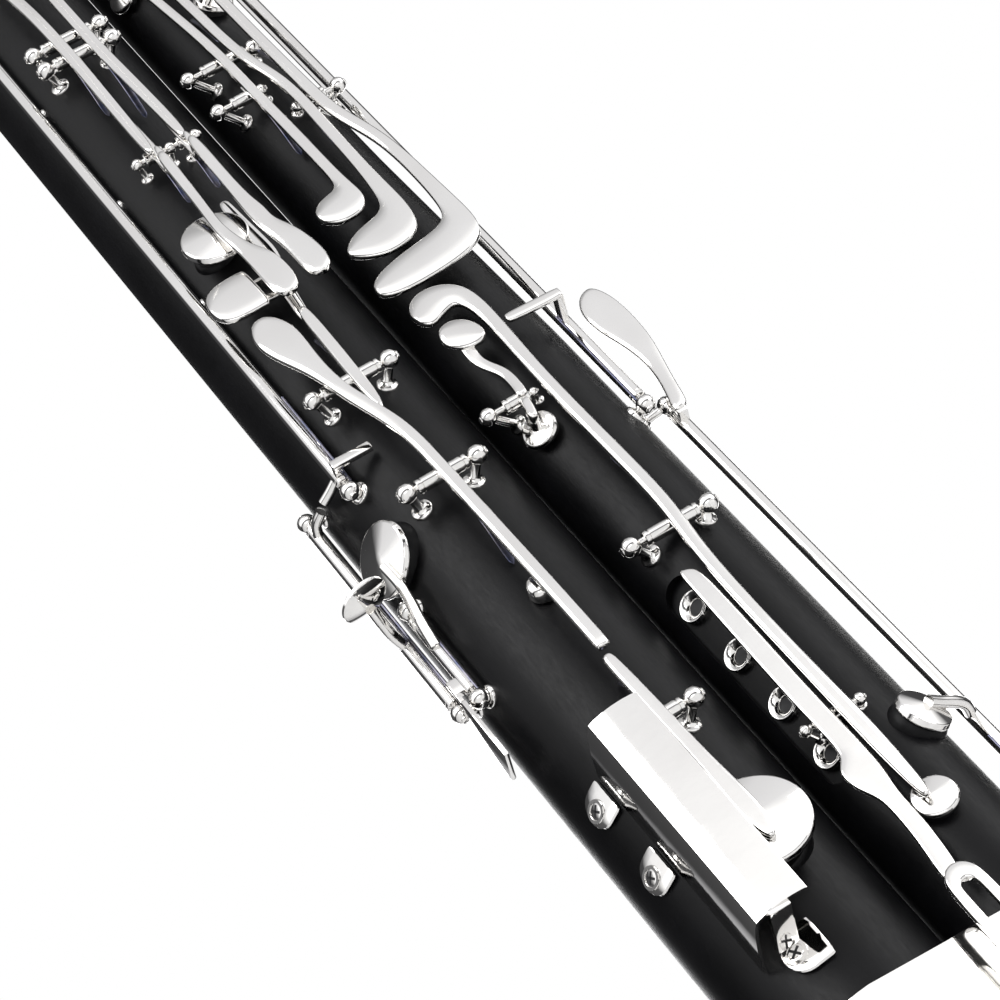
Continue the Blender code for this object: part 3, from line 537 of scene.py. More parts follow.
def tone_hole(axis_x, surface_r, angle, height, radius):
    return lathe([(0, 0), (0, radius), (surface_r + 6, radius), (surface_r + 6, 0)],
            around(axis_x, 1.0, angle, height), away(axis_x, angle), 28)


def long_joint():
    outer = [(z, LONG_R) for z in heights(BOOT_TOP + GAP, LONG_TOP - 11.5)]
    profile = [(LONG_TOP + 37, 13.7), (LONG_TOP, 13.7), (LONG_TOP, 22.6), (LONG_TOP - 0.4, 23.0),
            (LONG_TOP - 8.6, 23.0), (LONG_TOP - 9.4, 22.7), (LONG_TOP - 10.6, 21.7)] + outer
    profile += [(BOOT_TOP + GAP, 14.0), (BOOT_TOP - 38, 14.0), (BOOT_TOP - 38, 9.0), (LONG_TOP + 37, 9.0)]
    tube = lathe(profile, (LONG_X, 0, 0), (0, 0, 1), JOINT_STEPS, loop=True)
    seats = ((1, 467.5, 10.5), (-13, 709, 5.4), (-14, 878, 6.0), (-54, 594.5, 8.2), (-72, 868, 7.0))
    body = carved(tube, [seat(LONG_X, LONG_R, *spot) for spot in seats], "UNION")
    body = carved(body, [tone_hole(LONG_X, LONG_R, angle, z, radius * 0.62) for angle, z, radius in seats])
    piece("long_joint_body", ROOT, "resin", [body], ("long_joint",), BODY_SHARP)


def smooth_step(value, low, high):
    share = min(max((value - low) / (high - low), 0.0), 1.0)
    return share * share * (3 - 2 * share)


def wing_outline(z):
    """Cross-section of the wing joint: a circle that swells into the wing on the finger side."""
    plain = WING_R if z < 640 else max(WING_R - (z - 640) / 90 * (WING_R - WING_NECK_R), WING_NECK_R)
    swell = smooth_step(z, 458, 476) * (1 - smooth_step(z, 650, 674))
    lobe = Vector((15.0 - WING_X, 8.6))
    lobe_r = 11.0
    points = []
    for i in range(JOINT_STEPS):
        angle = 2 * math.pi * i / JOINT_STEPS
        way = Vector((math.cos(angle), math.sin(angle)))
        middle = way.dot(lobe)
        reach = lobe_r ** 2 - (lobe.length_squared - middle ** 2)
        edge = middle + math.sqrt(reach) if reach > 0 and middle > 0 else 0.0
        blend = 1.6
        soft = 0.5 * (edge + plain + math.sqrt((edge - plain) ** 2 + blend ** 2)) - blend / 2
        radius = plain + (max(soft, plain) - plain) * swell
        points.append((WING_X + way.x * radius, way.y * radius, z))
    return points


SLOT_ANGLE = -40
SLOT_RINGS = (538.8, 520.6, 503.0, 485.8)


def wing_slot():
    """Sunken track on the wing joint that holds four metal-lined holes."""
    middle = around(WING_X, WING_R - 2.2, SLOT_ANGLE, 0)
    out = away(WING_X, SLOT_ANGLE)
    across = Vector((0, 0, 1)).cross(out)
    half = 4.6
    rings = []
    for depth in (0.0, 9.0):
        ring = []
        for centre, first in ((543.0, 0), (482.0, 180)):
            for i in range(13):
                turn = math.radians(first + 180 * i / 12)
                spot = middle + out * depth + across * half * math.cos(turn)
                ring.append((spot.x, spot.y, centre + half * math.sin(turn)))
        rings.append(ring)
    return loft(rings)


def wing_joint():
    levels = heights(BOOT_TOP + GAP, WING_TOP - 14, 5.0)
    rings = [wing_outline(z) for z in levels]
    for radius, z in ((WING_NECK_R + 1.4, WING_TOP - 13), (16.2, WING_TOP - 12), (16.2, WING_TOP - 1.4),
            (15.6, WING_TOP), (7.2, WING_TOP), (6.8, WING_TOP - 0.5), (6.8, WING_TOP - 33)):
        rings.insert(0, [(WING_X + radius * math.cos(2 * math.pi * i / JOINT_STEPS),
                radius * math.sin(2 * math.pi * i / JOINT_STEPS), z) for i in range(JOINT_STEPS)])
    body = loft(rings)
    seats = ((-5, 457.6, 4.2), (38, 480, 6.2), (-31, 605.5, 3.4))
    small = ((-42, 838, 4.0), (-7, 872, 4.0), (22, 812, 4.4))
    rims = [seat(WING_X, WING_R, *spot) for spot in seats]
    rims += [seat(WING_X, WING_NECK_R, *spot) for spot in small]
    body = carved(body, rims, "UNION")
    holes = [tone_hole(WING_X, WING_R - 6, angle, z, radius * 0.55) for angle, z, radius in seats + small]
    fingers = [rod((18.0, 0, z), (11.5, 30, z + 11), 3.4, 28, 0) for z in (500, 548, 596)]
    body = carved(body, [wing_slot()] + holes + fingers)
    piece("wing_joint_body", ROOT, "resin", [body], ("wing_joint",), BODY_SHARP)
    out = away(WING_X, SLOT_ANGLE)
    liners = []
    for z in SLOT_RINGS:
        profile = [(0, 1.7), (0, 3.9), (1.5, 3.9), (1.9, 3.6), (1.9, 3.25), (0.7, 1.9), (0.3, 1.7)]
        liners.append(lathe(profile, around(WING_X, WING_R - 2.3, SLOT_ANGLE, z), out, 32, loop=True))
    piece("wing_hole_liners", ROOT, "plate", liners)
    # Dark discs deep in the metal-lined holes: painted shade for the dark inside of the open holes.
    hole_shades = [lathe([(0, 0), (0, 2.3), (0.35, 2.3), (0.35, 0)], around(WING_X, WING_R - 2.4, SLOT_ANGLE, z),
            out, 24) for z in SLOT_RINGS]
    piece("wing_hole_shades", ROOT, "painted_shade", hole_shades)


def boot_outline(grow, steps=24):
    """Oval around the two bores: two arcs joined by straight sides."""
    arcs = []
    spread = math.asin((BOOT_LONG_R - BOOT_WING_R) / (WING_X - LONG_X))
    for centre, radius, first, sweep in (
            (WING_X, BOOT_WING_R, -math.pi / 2 - spread, math.pi + 2 * spread),
            (LONG_X, BOOT_LONG_R, math.pi / 2 + spread, math.pi - 2 * spread)):
        turns = [first + sweep * i / steps for i in range(steps + 1)]
        arcs.append([Vector((centre + (radius + grow) * math.cos(turn), (radius + grow) * math.sin(turn)))
                for turn in turns])
    points = []
    for arc, follower in (arcs, reversed(arcs)):
        points += arc
        points += [arc[-1].lerp(follower[0], share / 5) for share in range(1, 5)]
    return points


def boot_rings(stations):
    """Oval rings from stations of height and growth."""
    return [[(x, y, z) for x, y in boot_outline(grow)] for z, grow in stations]


def boot():
    low = CAP_TOP + GAP
    high = BOOT_TOP - BAND_LENGTH - GAP
    stations = [(high, -1.0), (high, -0.3), (high - 0.4, 0.0)]
    stations += [(z, 0.0) for z in heights(low + 0.6, high - 2, 12)] + [(low, -0.3), (low, -1.0)]
    main = loft(boot_rings(stations))
    neck = loft(boot_rings([(BOOT_TOP - GAP, -1.5), (high - 10, -1.5)]))
    body = carved(main, [neck], "UNION")
    sockets = [lathe([(0, 0), (0, r), (60, r), (60, 0)], (x, 0, BOOT_TOP - 40), (0, 0, 1), 64) for x,
            r in ((LONG_X, 17.3), (WING_X, 12.9))]
    fingers = [rod((WING_X - 7, 4, z), (WING_X - 7, 30, z), 3.6, 28, 0) for z in (384, 352)]
    piece("boot_main_body", ROOT, "resin", [carved(body, sockets + fingers)], ("boot_body",),
            BODY_SHARP)


def boot_shell(name, node, stations):
    """Plated sleeve of closed section round the boot."""
    piece(name, ROOT, "plate", [loft(boot_rings(stations), loop=True)], (node,), 30)


def boot_metal():
    low = BOOT_TOP - BAND_LENGTH
    stations = [(BOOT_TOP, -1.2), (BOOT_TOP, 0.55), (BOOT_TOP - 0.3, 0.8)]
    stations += [(z, 0.8) for z in heights(low + 3.2, BOOT_TOP - 1, 8)]
    stations += [(low + 2.8, 1.0), (low + 0.9, 1.0), (low + 0.4, 0.8), (low, 0.5), (low, -1.2)]
    boot_shell("boot_top_sleeve", "boot_top_band", stations)
    stations = [(CAP_TOP, -0.9), (CAP_TOP, 0.3), (CAP_TOP - 0.3, 0.6), (CAP_TOP - 2.6, 0.6),
            (CAP_TOP - 2.8, 0.35), (CAP_TOP - 3.4, 0.35), (CAP_TOP - 3.6, 0.6), (6, 0.6), (2.2, 0.4),
            (0.7, -0.4), (0.1, -1.6), (0.1, -12), (1.6, -12), (1.8, -2.0)]
    piece("boot_bottom_shell", ROOT, "plate", [loft(boot_rings(stations), loop=True)], (), 30)
    sole = loft(boot_rings([(0.1, -11.8), (1.5, -11.8)]))
    piece("boot_bottom_plate", ROOT, "plate", [sole], ("boot_bottom_cap",))


def bell():
    base = LONG_TOP + GAP
    outer = [(1300, 22.6), (1280, 21.5), (1260, 20.8), (1220, 20.3), (1180, 20.2), (1140, 20.6),
            (1100, 21.2), (1070, 21.8), (1050, 22.4), (1044, 22.8), (1041, 23.6), (1037, 24.5), (1034, 24.6)]
    profile = [(BELL_TOP, 17.6), (BELL_TOP, 23.2), (BELL_TOP - 0.4, 23.4)] + outer
    profile += [(base + 0.3, 24.6), (base, 24.3), (base, 17.0), (LONG_TOP + 40, 17.0),
            (LONG_TOP + 40.5, 14.0), (1180, 15.5)]
    tube = lathe(profile, (LONG_X, 0, 0), (0, 0, 1), JOINT_STEPS, loop=True)
    body = carved(tube, [seat(LONG_X, 22.4, 0, 1068, 10.5)], "UNION")
    body = carved(body, [tone_hole(LONG_X, 16, 0, 1068, 6.5)])
    piece("bell_body", ROOT, "resin", [body], ("bell",), BODY_SHARP)
    low = BELL_TOP + GAP
    profile = [(HEIGHT, 20.4), (HEIGHT, 24.2), (HEIGHT - 0.8, 24.9), (HEIGHT - 2.4, 25.2),
            (HEIGHT - 9, 24.7), (low + 7, 24.4), (low + 3, 24.9), (low + 1.0, 25.2), (low, 24.9),
            (low, 18.8), (HEIGHT - 1.0, 19.8)]
    ring = lathe(profile, (LONG_X, 0, 0), (0, 0, 1), 96, loop=True)
    piece("bell_crown_ring", ROOT, "gloss", [ring], ("bell_ring",))
    profile = [(1012, 24.9), (1012, 25.2), (1011.4, 25.6), (base + 1.1, 25.6), (base + 0.5, 25.2),
            (base + 0.5, 24.9)]
    band = lathe(profile, (LONG_X, 0, 0), (0, 0, 1), 96, loop=True)
    piece("bell_socket_sleeve", ROOT, "plate", [band], ("bell_socket_band",))


long_joint()
wing_joint()
boot()
boot_metal()
bell()


# ---- more fittings ----------------------------------------------------------------------------

def block(low, high, edge=0.35):
    """Box with softened edges."""
    bm = bmesh.new()
    bmesh.ops.create_cube(bm, size=1.0)
    size = Vector(high) - Vector(low)
    middle = (Vector(high) + Vector(low)) / 2
    for vert in bm.verts:
        vert.co = (middle + Vector([a * b for a, b in zip(vert.co, size)])) * MM
    bmesh.ops.bevel(bm, geom=bm.edges[:], offset=edge * MM, segments=2, affect="EDGES", profile=0.6)
    return bm


def saddle(x, z, tube_y, back, half=1.5):
    """Saddle soldered between a hinge tube and its lever."""
    low, high = sorted((tube_y + (0.9 if back > tube_y else -0.9), back + (0.3 if back > tube_y else -0.3)))
    return block((x - half, low, z - 2.3), (x + half, high, z + 2.3))


def cross_tube(left, right, y, z, radius=TUBE_R):
    return hinge_tube((left, y, z), (right, y, z), radius)


def cross_cup(x, z, radius, bottom, top, cone=0.9):
    """Cup and its pad on a key that pivots across the joint."""
    out = (0, 1 if top > bottom else -1, 0)
    return pad_cup((x, bottom, z), out, radius, abs(top - bottom), cone), pad_disc((x, bottom, z), out,
            radius)


def side_cup(axis_x, angle, z, radius, low, high, cone=0.9):
    """Cup and its pad that face a joint's axis from the side."""
    foot = around(axis_x, low, angle, z)
    out = away(axis_x, angle)
    return pad_cup(foot, out, radius, high - low, cone), pad_disc(foot, out, radius)


def tongue(axis_x, radius, angle, z, reach, half, thick=1.1):
    """Rounded foot plate on a joint; reach is where it starts and ends, in degrees from its screw."""
    rungs = []
    for share in (0.0, 0.04, 0.4, 0.6, 0.75, 0.87, 0.95, 1.0):
        swing = angle + reach[0] + (reach[1] - reach[0]) * share
        width = half if share < 0.5 else half * math.sqrt(max(1 - ((share - 0.5) / 0.5) ** 2, 0.01))
        rungs.append((swing, z + width, z - width))
    rings = []
    for swing, high, low in rungs:
        top = [around(axis_x, radius + thick, swing, high + (low - high) * s / 4) for s in range(5)]
        under = [around(axis_x, radius, swing, high + (low - high) * s / 4) for s in range(4, -1, -1)]
        rings.append(top + under)
    return rounded(loft(rings), 1)


def ribbon_wall(section, thick, levels):
    """Bent sheet: a section of x and y points, given a thickness, drawn along Z through its levels."""
    spots = [Vector((x, y, 0)) for x, y in section]
    last = len(spots) - 1
    inner = []
    for i, spot in enumerate(spots):
        along = (spots[min(i + 1, last)] - spots[max(i - 1, 0)]).normalized()
        inner.append(spot + Vector((-along.y, along.x, 0)) * thick)
    ring = spots + list(reversed(inner))
    return loft([[spot + Vector((0, 0, z)) for spot in ring] for z in levels])


# ---- small parts of the body ------------------------------------------------------------------

def bocal():
    path = [(WING_X, 0, WING_TOP - 32), (WING_X, 0, WING_TOP + 2), (WING_X, 0, WING_TOP + 34),
            (WING_X, -6, WING_TOP + 66), (WING_X, -38, WING_TOP + 104), (WING_X, -92, WING_TOP + 112),
            (WING_X, -142, WING_TOP + 84), (WING_X, -186, WING_TOP + 62), (WING_X, -222, WING_TOP + 58)]
    taper = [1.0, 1.0, 0.96, 0.9, 0.82, 0.74, 0.66, 0.58, 0.52]
    curve = bpy.data.curves.new("bocal", "CURVE")
    curve.dimensions = "3D"
    curve.bevel_depth = 4.6 * MM
    curve.bevel_resolution = 8
    curve.use_fill_caps = False
    curve.resolution_u = 16
    line = curve.splines.new("NURBS")
    line.points.add(len(path) - 1)
    line.use_endpoint_u = True
    line.order_u = 4
    for point, spot, size in zip(line.points, path, taper):
        point.co = (*(Vector(spot) * MM), 1.0)
        point.radius = size
    item = bpy.data.objects.new("bocal", curve)
    bpy.context.scene.collection.objects.link(item)
    tube = item_of(taken(item))
    wall = tube.modifiers.new("wall", "SOLIDIFY")
    wall.thickness = 0.7 * MM
    wall.offset = -1
    shapes = [taken(tube)]
    profile = [(-0.6, 4.4), (-0.6, 6.1), (-0.2, 6.4), (0.6, 6.4), (1.0, 6.1), (3.0, 6.1), (3.4, 6.4),
            (4.2, 6.4), (4.6, 6.1), (4.6, 4.4)]
    shapes.append(lathe(profile, (WING_X, 0, WING_TOP + 5), (0, 0, 1), 44, loop=True))
    nipple = [(3.8, 0.9), (3.8, 2.6), (4.9, 2.6), (5.3, 1.7), (7.8, 1.7), (9.0, 1.3), (9.2, 0.9)]
    shapes.append(lathe(nipple, (WING_X, 0, WING_TOP + 18), (1, 0, 0), 24, loop=True))
    tip = [(-1.6, 2.0), (-1.6, 2.75), (-0.2, 2.75), (0.0, 2.55), (0.0, 2.0)]
    shapes.append(lathe(tip, (WING_X, -222.0, WING_TOP + 58.0), (0, -1, 0), 28, loop=True))
    piece("bocal_tube", ROOT, "plate", shapes, ("bocal",), 30)


def strap_ring():
    face = BOOT_LONG_R - 1.4
    loop = [(0, face + 10.4 + 7.0 * math.cos(2 * math.pi * i / 40),
            408 + 7.0 * math.sin(2 * math.pi * i / 40)) for i in range(40)]
    rings = []
    for i, spot in enumerate(loop):
        turn = 2 * math.pi * i / 40
        out = Vector((0, math.cos(turn), math.sin(turn)))
        rings.append([Vector(spot) + (out * math.cos(2 * math.pi * k / 16) + Vector((1, 0, 0))
                * math.sin(2 * math.pi * k / 16)) * 1.25 for k in range(16)])
    shapes = [loft(rings, loop=True), block((-4, face + 1.4, 401.5), (4, face + 2.9, 414.5), 0.5)]
    shapes.append(lathe([(0, 0), (0, 2.6), (0.8, 2.6), (1.3, 1.8), (2.8, 1.8), (3.1, 1.4), (3.1, 0)],
            (0, face + 1.9, 408), (0, 1, 0), 28))
    slot_shades = []
    for z in (403.4, 412.6):
        shapes.append(screw_head((0, face + 2.8, z), (0, 1, 0), 1.2, 0.4))
        slot_shades += screw_slot((0, face + 2.8, z), (0, 1, 0), 1.2, 0.4)
    piece("strap_ring_metal", ROOT, "plate", shapes, ("strap_ring",))
    # The slot bars get the dark finish: painted shade for the shadow in the screw slots.
    piece("strap_ring_slot_shades", ROOT, "painted_shade", slot_shades)


def joint_lock():
    shapes = [block((-12.5, 22.0, 900), (9.0, 24.4, 910), 0.6),
            block((6.0, 14.4, 900.5), (8.7, 23.0, 909.5), 0.4), lathe([(0, 0), (0, 2.6), (0.5, 2.75),
            (1.4, 2.75), (1.9, 2.4), (2.6, 2.4), (3.0, 2.0), (3.0, 0)], (7.4, 23.5, 905), (0, 1, 0), 32)]
    shapes.append(screw_head((-9.5, 24.2, 905), (0, 1, 0), 1.7, 0.6))
    piece("joint_lock_metal", ROOT, "plate", shapes, ("joint_lock",))
    # The slot bar gets the dark finish: painted shade for the shadow in the screw slot.
    piece("joint_lock_slot_shades", ROOT, "painted_shade", screw_slot((-9.5, 24.2, 905), (0, 1, 0), 1.7, 0.6))


def pad_guard():
    """Roof over the low D pad: a straight wall, a sharp ridge and a crowned top, on three screwed feet."""
    section = [(-33.2, -17.2), (-33.3, -21.0), (-33.3, -25.5), (-33.1, -29.0), (-32.7, -31.6),
            (-32.2, -32.9), (-31.6, -33.3), (-30.4, -33.8), (-28.6, -34.35), (-26.2, -34.8), (-23.8, -34.95),
            (-21.4, -34.85), (-20.2, -34.6)]
    shapes = [ribbon_wall(section, 0.75, (506.6, 506.0, 490, 474, 458, 447.0, 443.6, 443.0))]
    slot_shades = []
    feet = ((-50, 502, (7.0, -13), 5.2), (-50, 480, (7.0, -13), 5.2), (-16, 440.5, (11, -13), 5.6))
    for angle, z, reach, half in feet:
        shapes.append(tongue(LONG_X, LONG_R + GAP, angle, z, reach, half))
        foot = around(LONG_X, LONG_R + GAP + 1.0, angle - 5, z)
        out = away(LONG_X, angle - 5)
        shapes.append(lathe([(0, 1.9), (0, 2.7), (0.35, 2.6), (0.35, 1.9)], foot, out, 28, loop=True))
        shapes.append(screw_head(foot, out, 1.9, 0.3))
        slot_shades += screw_slot(foot, out, 1.9, 0.3, cross=True)
    shapes.append(block((-29.5, -34.4, 441.9), (-24.6, -21.6, 443.5), 0.3))
    piece("pad_guard_metal", ROOT, "plate", shapes, ("pad_guard",), sharp=30)
    # The cross bars get the dark finish: painted shade for the shadow in the screw crosses.
    piece("pad_guard_slot_shades", ROOT, "painted_shade", slot_shades)


# ---- keys on the long joint -------------------------------------------------------------------

def low_b_keys():
    y = -26.6
    z = 748.5
    posts = ball_post((-15.3, y, z), LONG_X, LONG_R, 1.6)
    pivot("low_touch_pivot", cross_ends(-24.9, -8.0, y, z), LONG_X, LONG_R, (1.6, 1.6), [posts])
    touches = {
        "low_b_touch": (-19.8, (-22.8, -17.3), [
            (-20.9, 741.0, -19.4, 740.8), (-21.6, 739.4, -18.6, 739.2), (-21.9, 730.4, -19.0, 730.4),
            (-22.1, 717.9, -19.4, 717.8), (-22.7, 707.3, -20.0, 706.8), (-22.9, 702.0, -19.9, 702.6),
            (-22.6, 696.6, -19.2, 697.6), (-22.0, 692.6, -17.9, 692.2), (-21.75, 687.0, -15.9, 688.4),
            (-21.7, 681.5, -14.6, 684.0), (-21.7, 676.5, -14.2, 677.8), (-21.6, 672.6, -14.8, 672.3),
            (-20.4, 670.2, -16.2, 669.9), (-19.2, 669.5, -17.6, 669.4)]),
        "low_b_flat_touch": (-11.4, (-13.3, -10.0), [
            (-12.0, 741.2, -10.6, 741.0), (-12.6, 739.6, -9.9, 739.4), (-13.0, 731.0, -9.8, 731.4),
            (-13.1, 719.3, -10.0, 719.1), (-13.5, 706.8, -9.8, 709.4), (-13.6, 702.6, -9.3, 705.4),
            (-13.5, 698.6, -8.9, 702.0), (-13.2, 694.4, -9.1, 698.0), (-12.6, 690.4, -7.9, 694.2),
            (-12.1, 685.6, -6.3, 690.0), (-12.0, 680.4, -5.2, 683.6), (-12.0, 675.2, -4.8, 677.6),
            (-11.6, 672.3, -5.3, 673.6), (-10.2, 670.9, -6.8, 671.2), (-9.2, 670.5, -8.0, 670.6)])}
    for name, (x, span, rungs) in touches.items():
        bar = flat_ladder(rungs, -33.4, 1.8, 0.6, 0.45)
        tail = lever([(x, 763.2, 0.5), (x, 762.4, 1.2), (x, 750, 1.45), (x, 740, 1.45), (x, 736.4, 1.4)],
                -29.5, 1.9)
        step = block((x - 1.25, -32.6, 735.9), (x + 1.25, -28.4, 739.0), 0.4)
        hook = lever([(x, 738, 1.0), (x, 742.5, 0.95), (x, 744.6, 0.45)], -32.9, 1.0)
        key(name, [cross_tube(*span, y, z), saddle(x, z, y, -28.6, 1.3), tail, step, hook, bar], (),
            [flat_spring(x, z - 3, z - 20, -27.6, -23.6)])
    y = -27.5
    pivot("low_b_lever_pivot", cross_ends(-27.4, -7.2, y, 810), LONG_X, LONG_R)
    line = [(-21.25, 744.4, 0.35), (-21.25, 745.6, 1.0), (-21.2, 749, 1.4), (-21.0, 762, 1.6),
            (-20.6, 790, 1.7), (-20.5, 800, 1.7), (-20.8, 821, 1.7), (-22.0, 835, 1.7), (-23.4, 848, 1.7),
            (-24.2, 862, 1.7), (-24.5, 874, 2.0), (-24.5, 880, 1.6), (-24.5, 881.6, 0.6)]
    cup, pad = cross_cup(-24.5, 878, 8.6, -26.0, -30.2)
    key("low_b_lever", [cross_tube(-24.7, -9.9, y, 810), saddle(-20.6, 810, y, -30), lever(line, -31.8, 1.8),
            cup], [pad], [flat_spring(-20.55, 806, 778, -29.6, -22.0)])
    pivot("low_b_flat_lever_pivot", cross_ends(-27.4, -7.2, y, 801.6), LONG_X, LONG_R)
    line = [(-11.6, 744.4, 0.35), (-11.6, 745.6, 1.0), (-11.65, 749, 1.4), (-11.9, 762, 1.6),
            (-13.0, 790, 1.7), (-13.2, 798, 1.7), (-13.1, 815, 1.7), (-13.4, 858, 1.7), (-13.9, 905, 1.7),
            (-14.1, 932, 1.7), (-15.0, 955, 1.7), (-17.0, 990, 1.7), (-18.3, 1012, 1.7),
            (-18.5, 1020.5, 1.5), (-18.5, 1022.4, 0.7)]
    key("low_b_flat_lever", [cross_tube(-24.7, -9.9, y, 801.6), saddle(-13.2, 801.6, y, -30),
            lever(line, -31.8, 1.8)], (), [flat_spring(-13.1, 797, 770, -29.6, -22.0)])
    pivot("bell_key_pivot", cross_ends(-28.5, -8.5, -28.4, 1106), LONG_X, 21.2)
    line = [(-18.5, 1026, 0.6), (-18.5, 1027.6, 1.4), (-18.5, 1040, 1.7), (-18.5, 1056, 2.4),
            (-18.5, 1066, 2.5), (-18.5, 1078, 2.2), (-18.5, 1092, 1.8), (-18.5, 1107, 1.7),
            (-18.5, 1109.4, 0.8)]
    cup, pad = cross_cup(-18.5, 1068, 11.5, -26.2, -29.9)
    key("bell_key", [cross_tube(-25.8, -11.2, -28.4, 1106), lever(line, -31.6, 2.0), cup], [pad])


def low_c():
    z = 638.0
    y = -27.5
    pivot("low_c_pivot", cross_ends(-30.4, -9.6, y, z), LONG_X, LONG_R, (2.2, BALL_R))
    upper = lever([(-19.2, 622.6, 0.3), (-19.1, 624.5, 1.0), (-18.9, 629, 1.6), (-18.6, 642, 1.7),
            (-18.2, 658, 1.7), (-18.0, 666, 1.4), (-18.0, 667.4, 0.5)], -29.6, 2.4)
    lower = flat_ladder([(-19.6, 664.5, -16.4, 664.5), (-19.0, 674, -15.6, 674), (-17.6, 684, -13.8, 684),
            (-16.0, 692, -12.0, 691.6), (-15.7, 696, -11.8, 696), (-16.1, 706, -12.4, 706),
            (-16.2, 716, -12.9, 716), (-15.6, 719.6, -13.1, 719.2)], -27.3, 1.7, 0.5, 0.35)
    bridge = lever([(-15.0, 708.0, 1.4), (-18.0, 708.0, 1.5), (-21.9, 708.0, 1.5)], -27.1, 1.2)
    tab = lever([(-17.0, 682, 4.6), (-21.0, 682, 4.6), (-26.0, 682, 4.2)], -27.4, 1.6)
    touch = flat_ladder([(-36.0, 682.4, -35.95, 680.6), (-35.6, 685.0, -35.4, 678.0),
            (-34.6, 687.2, -34.2, 676.2), (-33.0, 688.8, -32.6, 675.1), (-30.2, 689.8, -30.0, 674.7),
            (-26.5, 690.2, -26.4, 674.7), (-23.4, 690.1, -23.2, 674.9), (-22.3, 689.8, -22.2, 675.1)], -29.0,
            2.0, 0.5, 0.5)
    cup, pad = cross_cup(-22.1, 707.7, 8.9, -26.3, -28.7, 0.8)
    key("low_c_key", [cross_tube(-27.9, -12.3, y, z), upper, lower, bridge, tab, touch, cup], [pad],
        [flat_spring(-18.6, 644, 662, -26.9, -23.0)])


def low_d():
    z = 596.2
    y = -27.5
    pivot("low_d_pivot", cross_ends(-27.8, -9.2, y, z), LONG_X, LONG_R)
    line = [(-29.0, 667.0, 1.4), (-28.9, 665.4, 3.2), (-28.6, 661.8, 4.7), (-28.2, 657.4, 5.2),
            (-27.4, 651.5, 4.3), (-26.5, 646, 3.1), (-25.6, 640, 2.2), (-24.6, 633.5, 1.8, 0.1),
            (-23.0, 627, 1.8, 0.5), (-21.0, 620.6, 1.8, 1.0), (-19.2, 613.6, 1.8, 1.4),
            (-18.4, 606, 1.75, 1.6), (-18.2, 596, 1.7, 1.6), (-17.9, 575, 1.7, 1.6), (-17.5, 550, 1.7, 1.6),
            (-17.4, 526.6, 1.7, 1.6), (-17.4, 525.2, 1.65, 1.6)]
    bar = flat_ladder(rungs_of(line), -32.6, 2.0, 0.55, 0.4)
    guide = lathe([(0, 0), (0, 3.0), (0.5, 3.3), (3.4, 3.3), (3.9, 2.9), (4.2, 2.2), (4.2, 0)],
            (-17.3, -LONG_R - GAP, 554.5), (0, -1, 0), 40)
    key("low_d_lever", [cross_tube(-25.1, -11.9, y, z), saddle(-18.2, z, y, -29), bar], (),
        [flat_spring(-17.9, 590, 566, -28.7, -22.0)])
    piece("low_d_bumper", ROOT, "plate", [guide])
    z = 503.4
    pivot("low_d_pad_pivot", cross_ends(-25.6, -9.4, y, z), LONG_X, LONG_R)
    line = [(-18.5, 522.8, 0.8), (-18.5, 522.2, 1.45), (-18.3, 516, 1.6), (-17.9, 503, 1.7),
            (-17.5, 485, 1.8), (-17.2, 474, 2.4), (-17.2, 467, 2.5), (-17.2, 462, 1.6), (-17.2, 460.4, 0.6)]
    cup, pad = cross_cup(-17.2, 467.5, 11.8, -26.9, -29.9, 1.4)
    key("low_d_pad_key", [cross_tube(-22.9, -12.1, y, z), saddle(-17.7, z, y, -29), lever(line, -31.0, 2.0),
            cup], [pad], [flat_spring(-17.7, 507, 522, -28.7, -22.2)])


def upright_tube(axis, low, high):
    return hinge_tube((axis[0], axis[1], low), (axis[0], axis[1], high))


def upright_ends(axis, low, high):
    return [(axis[0], axis[1], low), (axis[0], axis[1], high)]


def needle(post_spot, hook_spot):
    """Needle spring from a post to a hook on its hinge tube."""
    return rod(post_spot, hook_spot, 0.32, 8, 0.05)


